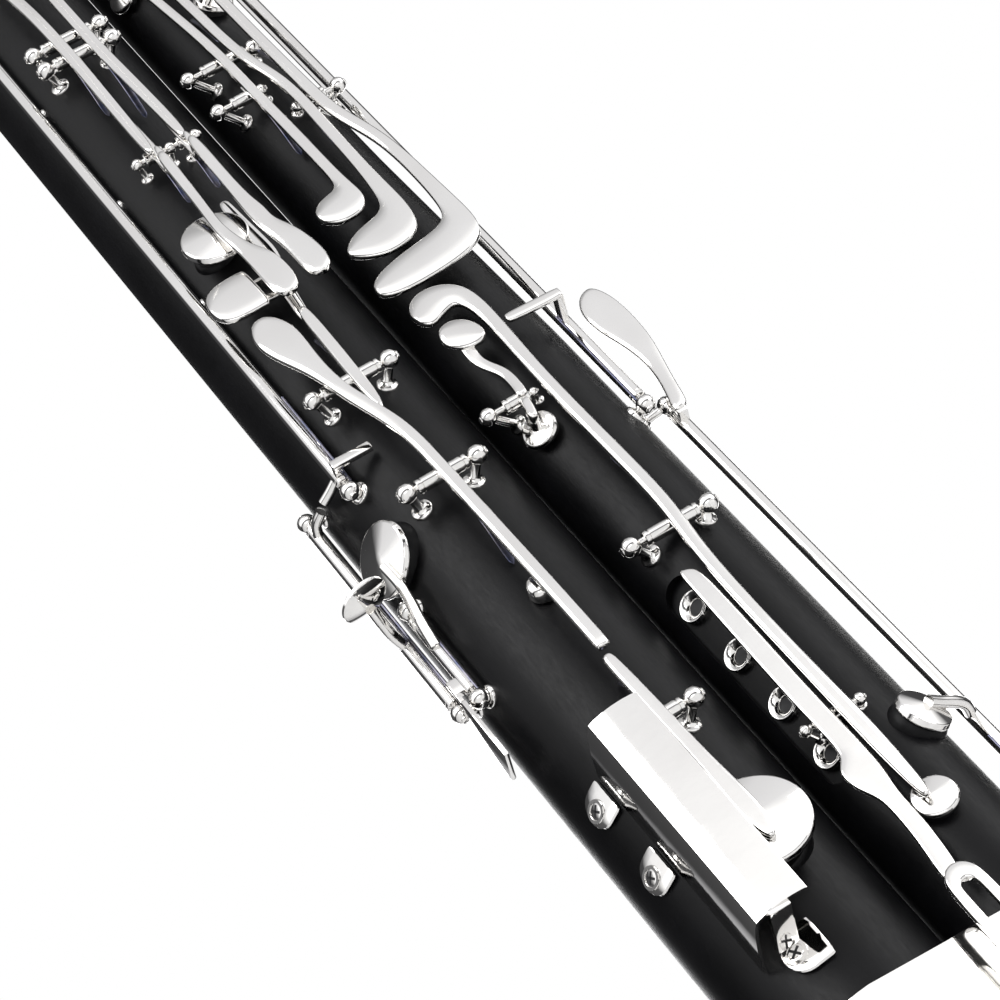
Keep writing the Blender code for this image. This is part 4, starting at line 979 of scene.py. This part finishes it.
def little_finger_keys():
    axis = (-40.3, -10.0)
    pivot("e_flat_pivot", upright_ends(axis, 547.8, 581.0), LONG_X, LONG_R)
    cup, pad = side_cup(LONG_X, -54, 594.5, 9.2, LONG_R + SEAT_HEIGHT + 2 * GAP, LONG_R + 4.6, 1.2)
    arm = wire([(-40.8, -11.4, 566), (-40.4, -13.4, 573), (-39.2, -15.0, 583),
            around(LONG_X, LONG_R + 5.0, -53, 591)], 1.45, 14, 5, 1.2)
    rise = block((-44.4, -10.8, 546), (-43.3, -9.2, 556), 0.3)
    shelf = block((-44.3, -10.9, 551.4), (-40.4, -9.1, 556), 0.4)
    touch = block((-44.5, -11.4, 529), (-43.2, -2.6, 548.8), 0.6)
    key("e_flat_key", [upright_tube(axis, 550.6, 578.2), arm, cup, rise, shelf, touch], [pad],
        [needle((-39.6, -11.6, 548.6), (-39.8, -12.2, 572))])
    axis = (-43.9, -3.0)
    pivot("c_sharp_touch_pivot", upright_ends(axis, 552.8, 628.0), LONG_X, LONG_R)
    out = Vector((0.4, 0.3, -2.0)).normalized()
    disc = lathe([(0, 0), (0, 5.9), (0.25, 6.2), (0.9, 6.2), (1.2, 5.9), (2.3, 2.2), (2.6, 0)],
            (-48.4, -17.1, 584.5), out, 52)
    stem = wire([(-44.4, -3.8, 578), (-46.2, -8.0, 579.4), (-47.8, -14.6, 582.3)], 1.35)
    arm = wire([(-43.9, -3.5, 621.5), (-43.4, -7.4, 621.9), (-41.4, -10.6, 621.5)], 1.3)
    key("c_sharp_touch", [upright_tube(axis, 555.6, 625.2), disc, stem, arm], (),
        [needle((-42.6, -4.6, 554), (-42.8, -5.2, 596))])
    axis = (-34.9, -18.3)
    mid = around(LONG_X, LONG_R + 2.6, -41.5, 750)
    extra = [rod((mid.x - 0.9, mid.y - 0.6, 618), (mid.x - 0.9, mid.y - 0.6, 881), 0.5, 8, 0.1)]
    for z in (700, 750, 800, 850):
        spot = around(LONG_X, LONG_R + 1.2, -41.9, z)
        extra.append(turned_post(around(LONG_X, LONG_R - 0.2, -41.9, z),
                spot + (spot - Vector((LONG_X, 0, z))) * 0.06, 1.5))
    pivot("c_sharp_rod_pivot", upright_ends(axis, 615.2, 884.0), LONG_X, LONG_R, extra=extra)
    link = wire([(-35.5, -17.5, 621.5), (-37.9, -14.9, 621.5), (-40.2, -12.8, 621.5)], 1.3)
    riser = block((-35.9, -22.6, 619.2), (-33.9, -19.0, 621.4), 0.3)
    stop = block((-36.0, -23.6, 618.9), (-25.4, -22.2, 621.6), 0.35)
    cup, pad = side_cup(LONG_X, -72, 868, 8.0, LONG_R + SEAT_HEIGHT + GAP, LONG_R + 4.4)
    arm = wire([(-36.0, -18.9, 868), (-38.4, -17.4, 868), around(LONG_X, LONG_R + 5.0, -66, 868),
            around(LONG_X, LONG_R + 4.9, -72, 868)], 1.4)
    key("c_sharp_rod", [upright_tube(axis, 618.0, 881.2), link, riser, stop, arm, cup], [pad],
        [needle((-33.6, -20.0, 616.4), (-33.5, -20.3, 652))])


# ---- keys on the wing joint -------------------------------------------------------------------

def high_keys():
    y = -18.4
    pivot("high_d_pivot", cross_ends(3.8, 16.7, y, 763), WING_X, WING_NECK_R, (2.2, 1.7))
    rungs = [(8.2, 840.4, 9.6, 840.9), (8.0, 839.4, 11.2, 840.2), (8.6, 834, 11.4, 834.6),
            (9.6, 818, 12.4, 818.6), (11.2, 800, 14.0, 800.4), (12.3, 782, 15.3, 782),
            (12.3, 763, 15.3, 763), (12.5, 745, 15.7, 745), (12.6, 725, 15.8, 725), (12.6, 716, 15.8, 714.6),
            (12.4, 710.8, 16.2, 706.6), (11.2, 708.8, 16.6, 701.4), (9.6, 708.2, 14.2, 697.0),
            (7.6, 707.8, 10.4, 695.9), (5.4, 706.6, 6.6, 696.2), (3.7, 704.8, 4.1, 698.4),
            (2.9, 702.9, 3.0, 700.6)]
    stem = lathe([(0, 0), (0, 1.9), (5.0, 1.9), (5.3, 2.2), (6.1, 2.2), (6.1, 0)], (9.0, -14.9, 838),
            (0.4, -6.1, 0), 24)
    cup, pad = side_cup(WING_X, -42, 838, 5.2, WING_NECK_R + SEAT_HEIGHT + GAP, WING_NECK_R + 4)
    key("high_d_key", [cross_tube(7.7, 14.7, y, 763), saddle(13.6, 763, y, -20.5),
            flat_ladder(rungs, -22.4, 1.9, 0.6), stem, cup], [pad],
            [flat_spring(13.9, 757, 735, -20.2, -15.2)])
    pivot("high_c_pivot", cross_ends(3.6, 23.4, y, 781.2), WING_X, WING_NECK_R, (2.2, 2.2))
    rungs = [(16.6, 876, 18.6, 876), (15.8, 874, 19.4, 874), (15.8, 868, 19.2, 868), (15.2, 845, 18.2, 845),
            (15.1, 820, 18.1, 820), (15.9, 800, 18.9, 800), (16.3, 785, 19.3, 786), (17.5, 771, 20.3, 773),
            (20.0, 760, 22.8, 762), (20.5, 750, 23.6, 751), (20.3, 740, 23.5, 740), (19.9, 725, 23.2, 724),
            (19.5, 712, 22.9, 709.6), (18.7, 702, 23.2, 697), (17.9, 695.6, 23.1, 688),
            (15.8, 692.8, 21.0, 680.4), (12.6, 691.7, 15.6, 677.8), (9.0, 690.8, 10.2, 677.6),
            (5.6, 689, 6.2, 679.6), (3.3, 686.6, 3.5, 681.9), (2.4, 685, 2.5, 683.4)]
    cup, pad = cross_cup(17.6, 872, 5.2, -16.2, -18.8, 0.6)
    key("high_c_key", [cross_tube(7.5, 20.9, y, 781.2), saddle(18.0, 781.2, y, -20.5, 1.3),
            flat_ladder(rungs, -22.4, 1.9, 0.6), cup, rod((17.6, -18, 872), (17.6, -21.2, 872), 1.8)], [pad],
            [flat_spring(17.4, 787, 810, -20.2, -15.2)])
    y = -16.7
    pivot("high_a_pivot", cross_ends(21.4, 34.0, y, 752), WING_X, WING_NECK_R, (1.5, 2.2))
    rungs = [(24.2, 817, 26.2, 817), (23.3, 815, 27.1, 815), (23.5, 810, 26.9, 810), (23.6, 800, 26.9, 800),
            (23.6, 786, 26.9, 786), (23.9, 762, 27.2, 762), (24.2, 739.5, 27.6, 740.5),
            (26.0, 730, 29.4, 732), (28.2, 721, 31.4, 722.5), (29.3, 711, 32.8, 711.5),
            (29.4, 698, 33.2, 697), (29.0, 688, 33.6, 684), (28.2, 681.5, 33.8, 673.5),
            (26.0, 678.3, 31.6, 667.2), (21.5, 676.9, 25.6, 664.2), (16.0, 675.8, 18.4, 663.0),
            (10.0, 674.5, 10.8, 662.5), (5.2, 672.8, 5.3, 662.9), (2.2, 670.6, 2.1, 664.3),
            (1.2, 668.6, 1.1, 666.2)]
    cup, pad = side_cup(WING_X, 22, 812, 5.6, WING_NECK_R + SEAT_HEIGHT + GAP, WING_NECK_R + 4.2)
    key("high_a_key", [cross_tube(23.3, 30.0, y, 752), saddle(25.7, 752, y, -20.5, 1.4),
            flat_ladder(rungs, -22.4, 1.9, 0.6), cup, rod((25.2, -16.6, 812), (25.2, -21.2, 812), 1.8)],
            [pad], [flat_spring(25.6, 758, 785, -20.2, -14.2)])


def wing_c_sharp():
    z = 556.5
    y = -18.5
    pivot("wing_c_sharp_pivot", cross_ends(6.0, 26.4, y, z), WING_X, WING_R)
    rungs = [(15.2, 456.0, 16.2, 456.0), (14.4, 458.2, 17.2, 458.2), (14.1, 468, 17.6, 468),
            (14.0, 478, 18.0, 478), (14.1, 488, 17.8, 488), (14.2, 512, 17.5, 512), (14.4, 535, 17.7, 535),
            (15.0, 547, 18.5, 547), (16.0, 556, 19.6, 557), (16.6, 566, 20.1, 566.4), (16.3, 585, 19.8, 585),
            (15.9, 610, 19.3, 610), (16.2, 630, 19.8, 630), (16.5, 640, 20.4, 641),
            (15.9, 647.6, 20.1, 651.6), (14.3, 650.6, 17.6, 657.2), (12.0, 650.2, 13.0, 660.3),
            (9.2, 648.9, 8.0, 660.2), (6.8, 647.6, 4.9, 657.8), (5.0, 648.6, 3.5, 654.6),
            (4.2, 650.2, 3.6, 652.4)]
    cup, pad = side_cup(WING_X, -5, 457.6, 5.2, WING_R + SEAT_HEIGHT + GAP, WING_R + 3.6, 0.8)
    key("wing_c_sharp_key", [cross_tube(9.5, 23.7, y, z), flat_ladder(rungs, -22.0, 1.9, 0.6), cup,
            rod((16.2, -18.8, 460), (16.2, -20.8, 460), 1.3)], [pad],
            [flat_spring(18.2, 562, 586, -19.9, -17.2)])


def whisper_work():
    y = -18.6
    z = 614.0
    pivot("whisper_touch_pivot", cross_ends(2.0, 14.3, y, z), WING_X, WING_R, (2.2, 1.2))
    rungs = [(5.2, 643.0, 6.4, 644.4), (4.6, 640.2, 8.8, 645.6), (5.4, 637.4, 11.6, 645.0),
            (7.4, 635.0, 13.8, 642.6), (9.8, 633.9, 14.9, 639.4), (12.0, 633.8, 14.9, 636.8),
            (13.4, 634.4, 14.4, 635.5)]
    touch = flat_ladder(rungs, -22.6, 1.8, 0.8, 0.5)
    arm = flat_ladder(rungs_of([(9.4, 638.5, 1.9), (8.7, 634, 1.7), (8.6, 630, 1.5, 0.4),
            (10.0, 626.6, 1.4, 0.6), (11.6, 623.4, 1.4, 0.6), (11.9, 619, 1.4, 0.4), (11.4, 614, 1.4),
            (11.0, 612.4, 1.3)]), -21.5, 1.3, 0.15, 0.35)
    cup, pad = side_cup(WING_X, -31, 605.5, 4.8, WING_R + SEAT_HEIGHT + GAP, WING_R + 3.6, 0.6)
    bar = flat_ladder(rungs_of([(11.0, 612.4, 1.2), (10.4, 609, 1.25), (9.7, 605.5, 1.3),
            (9.5, 604.2, 0.8)]), -21.3, 3.0, 0.1, 0.4)
    key("whisper_touch", [cross_tube(6.1, 12.9, y, z), touch, arm, bar, cup,
            rod((9.8, -15.8, 605.5), (9.8, -19.0, 605.5), 1.2)], [pad])
    axis = (35.9, -9.6)
    second = rod((32.5, -12.4, 744), (32.5, -12.4, 812), 0.55, 8, 0.1)
    pivot("whisper_rod_pivot", upright_ends(axis, 601.4, WING_TOP - 20), WING_X, WING_NECK_R + 1.3,
            extra=[second])
    shapes = [upright_tube(axis, 604.2, WING_TOP - 22.8)]
    shapes.append(flat_ladder([(21.4, 640.2, 21.5, 638.0), (22.4, 640.8, 22.4, 637.4),
            (29.0, 640.4, 29.0, 637.0), (35.4, 640.2, 35.4, 636.8), (36.6, 639.8, 36.6, 637.2)], -20.2, 1.3,
            0.1, 0.3))
    shapes.append(block((34.6, -20.0, 637.2), (36.6, -10.5, 640.0), 0.35))
    vent = lathe([(0, 0), (0, 2.9), (0.3, 3.2), (1.5, 3.2), (1.9, 2.8), (1.9, 0)], (30.1, 0, WING_TOP + 18),
            (1, 0, 0), 32)
    climb = wire([(36.4, -9.9, WING_TOP - 27), (38.2, -11.1, WING_TOP - 27), (38.9, -11.6, WING_TOP - 24),
            (38.9, -11.6, WING_TOP), (38.9, -11.6, WING_TOP + 14), (38.6, -11.1, WING_TOP + 18),
            (36.0, -7.2, WING_TOP + 18.4), (31.6, -0.6, WING_TOP + 18)], 1.3)
    shapes += [vent, climb]
    key("whisper_rod", shapes, (), [needle((34.4, -11.0, 602.6), (34.4, -11.4, 640))])
    y = -17.7
    z = 488.5
    pivot("whisper_link_pivot", cross_ends(7.0, 20.6, y, z), WING_X, WING_R, (1.4, 1.5))
    rungs = [(10.0, 542.2, 12.6, 541.2), (9.4, 541.4, 13.9, 538.6), (9.3, 532, 13.95, 530),
            (8.95, 518, 13.9, 517), (8.7, 505, 13.6, 504), (8.5, 493, 13.5, 492), (8.7, 483, 13.6, 483),
            (8.5, 477.6, 13.7, 477.6), (7.4, 475.4, 13.6, 476), (5.7, 473.6, 13.55, 474),
            (5.4, 471, 13.5, 471.6), (6.0, 467.2, 13.3, 468.4), (7.6, 463.8, 12.8, 465),
            (8.3, 461, 12.3, 461.4), (8.2, 455.4, 12.2, 455.4), (7.9, 450, 12.0, 450),
            (7.2, 444.5, 11.5, 444.5), (6.6, 439.4, 10.8, 439.2), (6.7, 437.4, 10.0, 437.2)]
    tube = cross_tube(9.6, 18.8, y, z, 1.55)
    key("whisper_link", [tube, flat_ladder(rungs, -20.3, 1.4, 0.1, 0.35)], (),
        [flat_spring(10.9, 515, 494, -18.7, -16.4)])


def trill():
    axis = (41.7, -4.0)
    pivot("trill_pivot", upright_ends(axis, 440.5, 603.0), WING_X, WING_R)
    cup, pad = side_cup(WING_X, 38, 480, 6.4, WING_R + SEAT_HEIGHT + GAP, WING_R + 4.4, 1.0)
    arm = wire([(41.4, -4.9, 480), (39.8, -9.6, 480), around(WING_X, WING_R + 5.0, 47, 480),
            around(WING_X, WING_R + 4.9, 38, 480)], 1.4)
    touch = flat_ladder([(40.5, 595.2, 43.8, 595.6), (40.4, 597.4, 44.8, 597.8), (42.6, 605, 46.0, 604.4),
            (43.6, 612, 47.4, 611), (43.4, 619, 49.0, 618), (42.4, 625, 49.9, 624), (41.0, 631, 50.3, 631.6),
            (40.5, 637, 50.0, 639), (41.4, 642, 48.6, 644.4), (43.6, 645.2, 46.8, 646.6)], -9.2, 1.6, 0.5,
            0.45)
    rise = block((40.7, -8.6, 594.6), (43.3, -4.6, 599), 0.4)
    key("trill_key", [upright_tube(axis, 443.3, 600.2), arm, cup, touch, rise], [pad],
        [needle((40.2, -5.6, 441.8), (40.3, -6.0, 472))])


# ---- keys on the boot -------------------------------------------------------------------------

def boot_face(x):
    """Half depth of the boot at x."""
    share = (x - LONG_X) / (WING_X - LONG_X)
    if share < 0:
        return math.sqrt(BOOT_LONG_R ** 2 - (x - LONG_X) ** 2)
    if share > 1:
        return math.sqrt(BOOT_WING_R ** 2 - (x - WING_X) ** 2)
    return BOOT_LONG_R + (BOOT_WING_R - BOOT_LONG_R) * share


def boot_pivot(node, left, right, y, z):
    """Pivot on the boot's flat side, on the side that y points to."""
    way = 1 if y > 0 else -1
    shapes = [rod((left, y, z), (right, y, z), PIN_R, 12)]
    slot_shades = []
    for x, out in ((left, Vector((-1, 0, 0))), (right, Vector((1, 0, 0)))):
        centre = Vector((x, y, z))
        shapes.append(turned_post(Vector((x, way * (boot_face(x) + 0.3), z)), centre))
        foot = centre + out * (BALL_R - 0.25)
        shapes.append(screw_head(foot, out, 1.1, 0.4))
        slot_shades += screw_slot(foot, out, 1.1, 0.4)
    piece(node + "_posts", ROOT, "plate", shapes, (node,))
    # The slot bars get the dark finish: painted shade for the shadow in the screw slots.
    piece(node + "_screw_slot_shades", ROOT, "painted_shade", slot_shades)


def oval_touch(centre, half_width, half_length, front, thick):
    """Oval touch piece, crowned, longer along Z."""
    rungs = []
    for i in range(11):
        turn = math.pi * i / 10
        width = max(half_width * math.sin(turn), 0.35)
        height = centre[1] + half_length * math.cos(turn)
        rungs.append((centre[0] - width, height, centre[0] + width, height))
    return flat_ladder(rungs, front, thick, 1.0, 0.6)


def boot_thumb_keys():
    y = -26.6
    z = 372.0
    boot_pivot("pancake_pivot", -5.5, 15.5, y, z)
    outer = [(2.4, 398.5), (2.3, 402), (2.3, 428.5), (3.1, 431.8), (4.8, 433.7), (6.6, 434.2), (8.4, 433.7),
            (10.1, 431.8), (10.9, 428.5), (10.9, 402), (10.8, 398.5)]
    inner = [(4.9, 401.5), (4.7, 404), (4.7, 427.0), (5.0, 428.4), (5.7, 429.2), (6.6, 429.5), (7.5, 429.2),
            (8.2, 428.4), (8.5, 427.0), (8.5, 404), (8.3, 401.5)]
    rings = []
    for (ox, oz), (ix, iz) in zip(outer, inner):
        rings.append([Vector((ox, -27.9, oz)), Vector((ox, -29.1, oz)),
                Vector((ox, -29.4, oz)).lerp(Vector((ix, -29.4, iz)), 0.15),
                Vector((ox, -29.4, oz)).lerp(Vector((ix, -29.4, iz)), 0.85), Vector((ix, -29.1, iz)),
                Vector((ix, -27.9, iz)), Vector((ix, -27.6, iz)), Vector((ox, -27.6, oz))])
    hoop = rounded(loft(rings), 2)
    bar = lever([(6.6, 402.4, 4.2), (6.6, 400.6, 4.3), (6.6, 397.6, 4.2), (6.6, 396.0, 2.6)], -29.4, 1.8)
    stalk = lever([(5.2, 328, 0.8), (5.2, 331, 2.1), (5.4, 341, 2.2), (6.3, 371, 2.0), (6.6, 385, 2.0),
            (6.6, 400, 2.0)], -29.5, 1.8)
    cup, pad = cross_cup(5.0, 330, 12.5, -25.0, -28.4, 1.2)
    key("pancake_key", [cross_tube(-2.7, 12.7, y, z), saddle(6.3, z, y, -27.7), stalk, bar, hoop, cup], [pad],
        [flat_spring(6.3, 366, 347, -27.4, -22.4)])
    y = -26.6
    z = 250.0
    boot_pivot("thumb_b_flat_pivot", -14.0, 4.0, y, z)
    cup, pad = cross_cup(-12.5, 205, 10.5, -boot_face(-12.5) - GAP - 0.9, -28.4, 1.0)
    line = [(-6.0, 277, 1.4), (-6.0, 270, 1.7), (-6.0, 250, 1.7), (-7.4, 240, 1.7), (-10.6, 222, 1.8),
            (-12.2, 210, 2.0), (-12.5, 202, 1.6), (-12.5, 200.4, 0.7)]
    key("thumb_b_flat_key", [cross_tube(-11.2, 1.2, y, z), saddle(-6.0, z, y, -28.2),
            lever(line, -30.0, 1.8), oval_touch((-6.0, 281), 6.4, 9.5, -30.2, 2.2), cup], [pad],
            [flat_spring(-6.0, 256, 272, -27.9, -23.6)])


def boot_finger_keys():
    y = 27.0
    z = 190.0
    boot_pivot("little_finger_pivot", -21.5, 21.5, y, z)
    keys = {"f_sharp_key": ((-18.7, -3.2), -12.0, -16.5, 128, 12.5, 262),
            "a_flat_key": ((-2.5, 18.7), 8.0, 13.5, 138, 9.5, 240)}
    for name, (span, touch_x, pad_x, pad_z, pad_r, touch_z) in keys.items():
        line = [(touch_x, touch_z - 6, 1.4), (touch_x, touch_z - 12, 1.7), (touch_x, z, 1.7),
                (touch_x + (pad_x - touch_x) * 0.35, z - 20, 1.75), (pad_x - (pad_x - touch_x) * 0.06,
                pad_z + 8, 2.1), (pad_x, pad_z - 2, 1.8), (pad_x, pad_z - 4, 0.7)]
        cup, pad = cross_cup(pad_x, pad_z, pad_r, boot_face(pad_x) + GAP + 0.6, 29.0, 1.0)
        key(name, [cross_tube(*span, y, z), saddle(touch_x, z, y, 28.6), lever(line, 30.4, 1.8),
                oval_touch((touch_x, touch_z), 6.2, 11.0, 30.6, 2.2), cup], [pad],
                [flat_spring(touch_x, z - 6, z - 26, 28.3, 22.6)])


bocal()
strap_ring()
joint_lock()
pad_guard()
low_b_keys()
low_c()
low_d()
little_finger_keys()
high_keys()
wing_c_sharp()
whisper_work()
trill()
boot_thumb_keys()
boot_finger_keys()


# ---- nodes that stay as they are --------------------------------------------------------------

for node_name, finish_name in (("u_bow", "plate"), ("long_tenon_lapping", "cork"),
        ("wing_tenon_lapping", "cork"), ("bocal_cork", "cork")):
    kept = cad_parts[node_name]
    kept.data.materials.clear()
    kept.data.materials.append(FINISH[finish_name])


# ---- floor, light and camera ------------------------------------------------------------------

def floor():
    bm = bmesh.new()
    bmesh.ops.create_grid(bm, x_segments=8, y_segments=8, size=3.0)
    mesh = bpy.data.meshes.new("floor")
    bm.to_mesh(mesh)
    bm.free()
    made, tree, shader = new_material("pale_floor", (0.86, 0.86, 0.86), 0.0, 0.7)
    recolour(tree, noise(tree, 3.0), (0.84, 0.84, 0.84), (0.89, 0.89, 0.89), shader)
    mesh.materials.append(made)
    item = bpy.data.objects.new("floor", mesh)
    item.location = (0, 0, -0.0005)
    bpy.context.scene.collection.objects.link(item)


def levels_along(tree, value, stops):
    """Grey levels placed along one component of the direction, from -1 to 1."""
    ramp = tree.nodes.new("ShaderNodeValToRGB")
    spread = tree.nodes.new("ShaderNodeMapRange")
    spread.inputs["From Min"].default_value = -1.0
    spread.inputs["From Max"].default_value = 1.0
    elements = ramp.color_ramp.elements
    for place, (where, level) in zip(elements, (stops[0], stops[-1])):
        place.position = (where + 1) / 2
        place.color = (level, level, level, 1)
    for where, level in stops[1:-1]:
        stop = elements.new((where + 1) / 2)
        stop.color = (level, level, min(level * 1.02, 1), 1)
    tree.links.new(value, spread.inputs["Value"])
    tree.links.new(spread.outputs["Result"], ramp.inputs["Fac"])
    return ramp.outputs["Color"]


def surroundings():
    """White room for the eye, and a studio of bright panels and dark gaps for the reflections."""
    world = bpy.data.worlds.new("studio")
    world.use_nodes = True
    tree = world.node_tree
    tree.nodes.clear()
    output = tree.nodes.new("ShaderNodeOutputWorld")
    plain = tree.nodes.new("ShaderNodeBackground")
    plain.inputs["Color"].default_value = (1, 1, 1, 1)
    plain.inputs["Strength"].default_value = 1.0
    around_it = tree.nodes.new("ShaderNodeBackground")
    around_it.inputs["Strength"].default_value = 1.35
    place = tree.nodes.new("ShaderNodeTexCoord")
    split = tree.nodes.new("ShaderNodeSeparateXYZ")
    tree.links.new(place.outputs["Generated"], split.inputs["Vector"])
    deep = levels_along(tree, split.outputs["Y"], ((-1, 1.0), (-0.12, 1.0), (0.10, 0.08), (0.74, 0.05),
            (0.84, 0.8), (1, 0.9)))
    high = levels_along(tree, split.outputs["Z"], ((-1, 0.6), (-0.2, 0.55), (-0.14, 0.08), (-0.02, 0.06),
            (0.06, 0.9), (0.52, 1.0), (0.64, 0.66), (0.80, 0.60), (0.90, 0.34), (1, 0.30)))
    both = tree.nodes.new("ShaderNodeVectorMath")
    both.operation = "MULTIPLY"
    tree.links.new(deep, both.inputs[0])
    tree.links.new(high, both.inputs[1])
    path = tree.nodes.new("ShaderNodeLightPath")
    mixer = tree.nodes.new("ShaderNodeMixShader")
    tree.links.new(both.outputs["Vector"], around_it.inputs["Color"])
    tree.links.new(path.outputs["Is Camera Ray"], mixer.inputs["Fac"])
    tree.links.new(around_it.outputs["Background"], mixer.inputs[1])
    tree.links.new(plain.outputs["Background"], mixer.inputs[2])
    tree.links.new(mixer.outputs["Shader"], output.inputs["Surface"])
    bpy.context.scene.world = world


def softbox(name, spot, aim, size, watts):
    light = bpy.data.lights.new(name, "AREA")
    light.shape = "RECTANGLE"
    light.size = size[0]
    light.size_y = size[1]
    light.energy = watts
    item = bpy.data.objects.new(name, light)
    item.location = spot
    item.rotation_euler = (Vector(aim) - Vector(spot)).to_track_quat("-Z", "Y").to_euler()
    bpy.context.scene.collection.objects.link(item)


def camera():
    lens = bpy.data.cameras.new("camera")
    lens.lens = LENS
    lens.sensor_width = 36.0
    lens.clip_start = 0.01
    item = bpy.data.objects.new("camera", lens)
    ahead = Vector(CAMERA_AHEAD).normalized()
    across = Vector(CAMERA_ACROSS)
    across = (across - ahead * across.dot(ahead)).normalized()
    up = across.cross(ahead)
    turn = Matrix((across, up, -ahead)).transposed().to_4x4()
    item.matrix_world = Matrix.Translation(CAMERA_SPOT) @ turn
    bpy.context.scene.collection.objects.link(item)
    bpy.context.scene.camera = item


floor()
surroundings()
softbox("key_light", (-0.9, -1.4, 1.5), (0, 0, 0.62), (1.2, 1.2), 18)
softbox("fill_light", (1.3, -0.9, 0.9), (0, 0, 0.62), (0.9, 1.4), 8)
softbox("low_light", (-0.3, -1.2, -0.0), (0, 0, 0.62), (1.0, 0.5), 3)
softbox("back_light", (0.4, 1.4, 1.5), (0, 0, 0.7), (1.4, 1.0), 14)
camera()
bpy.context.scene.view_settings.view_transform = "Standard"
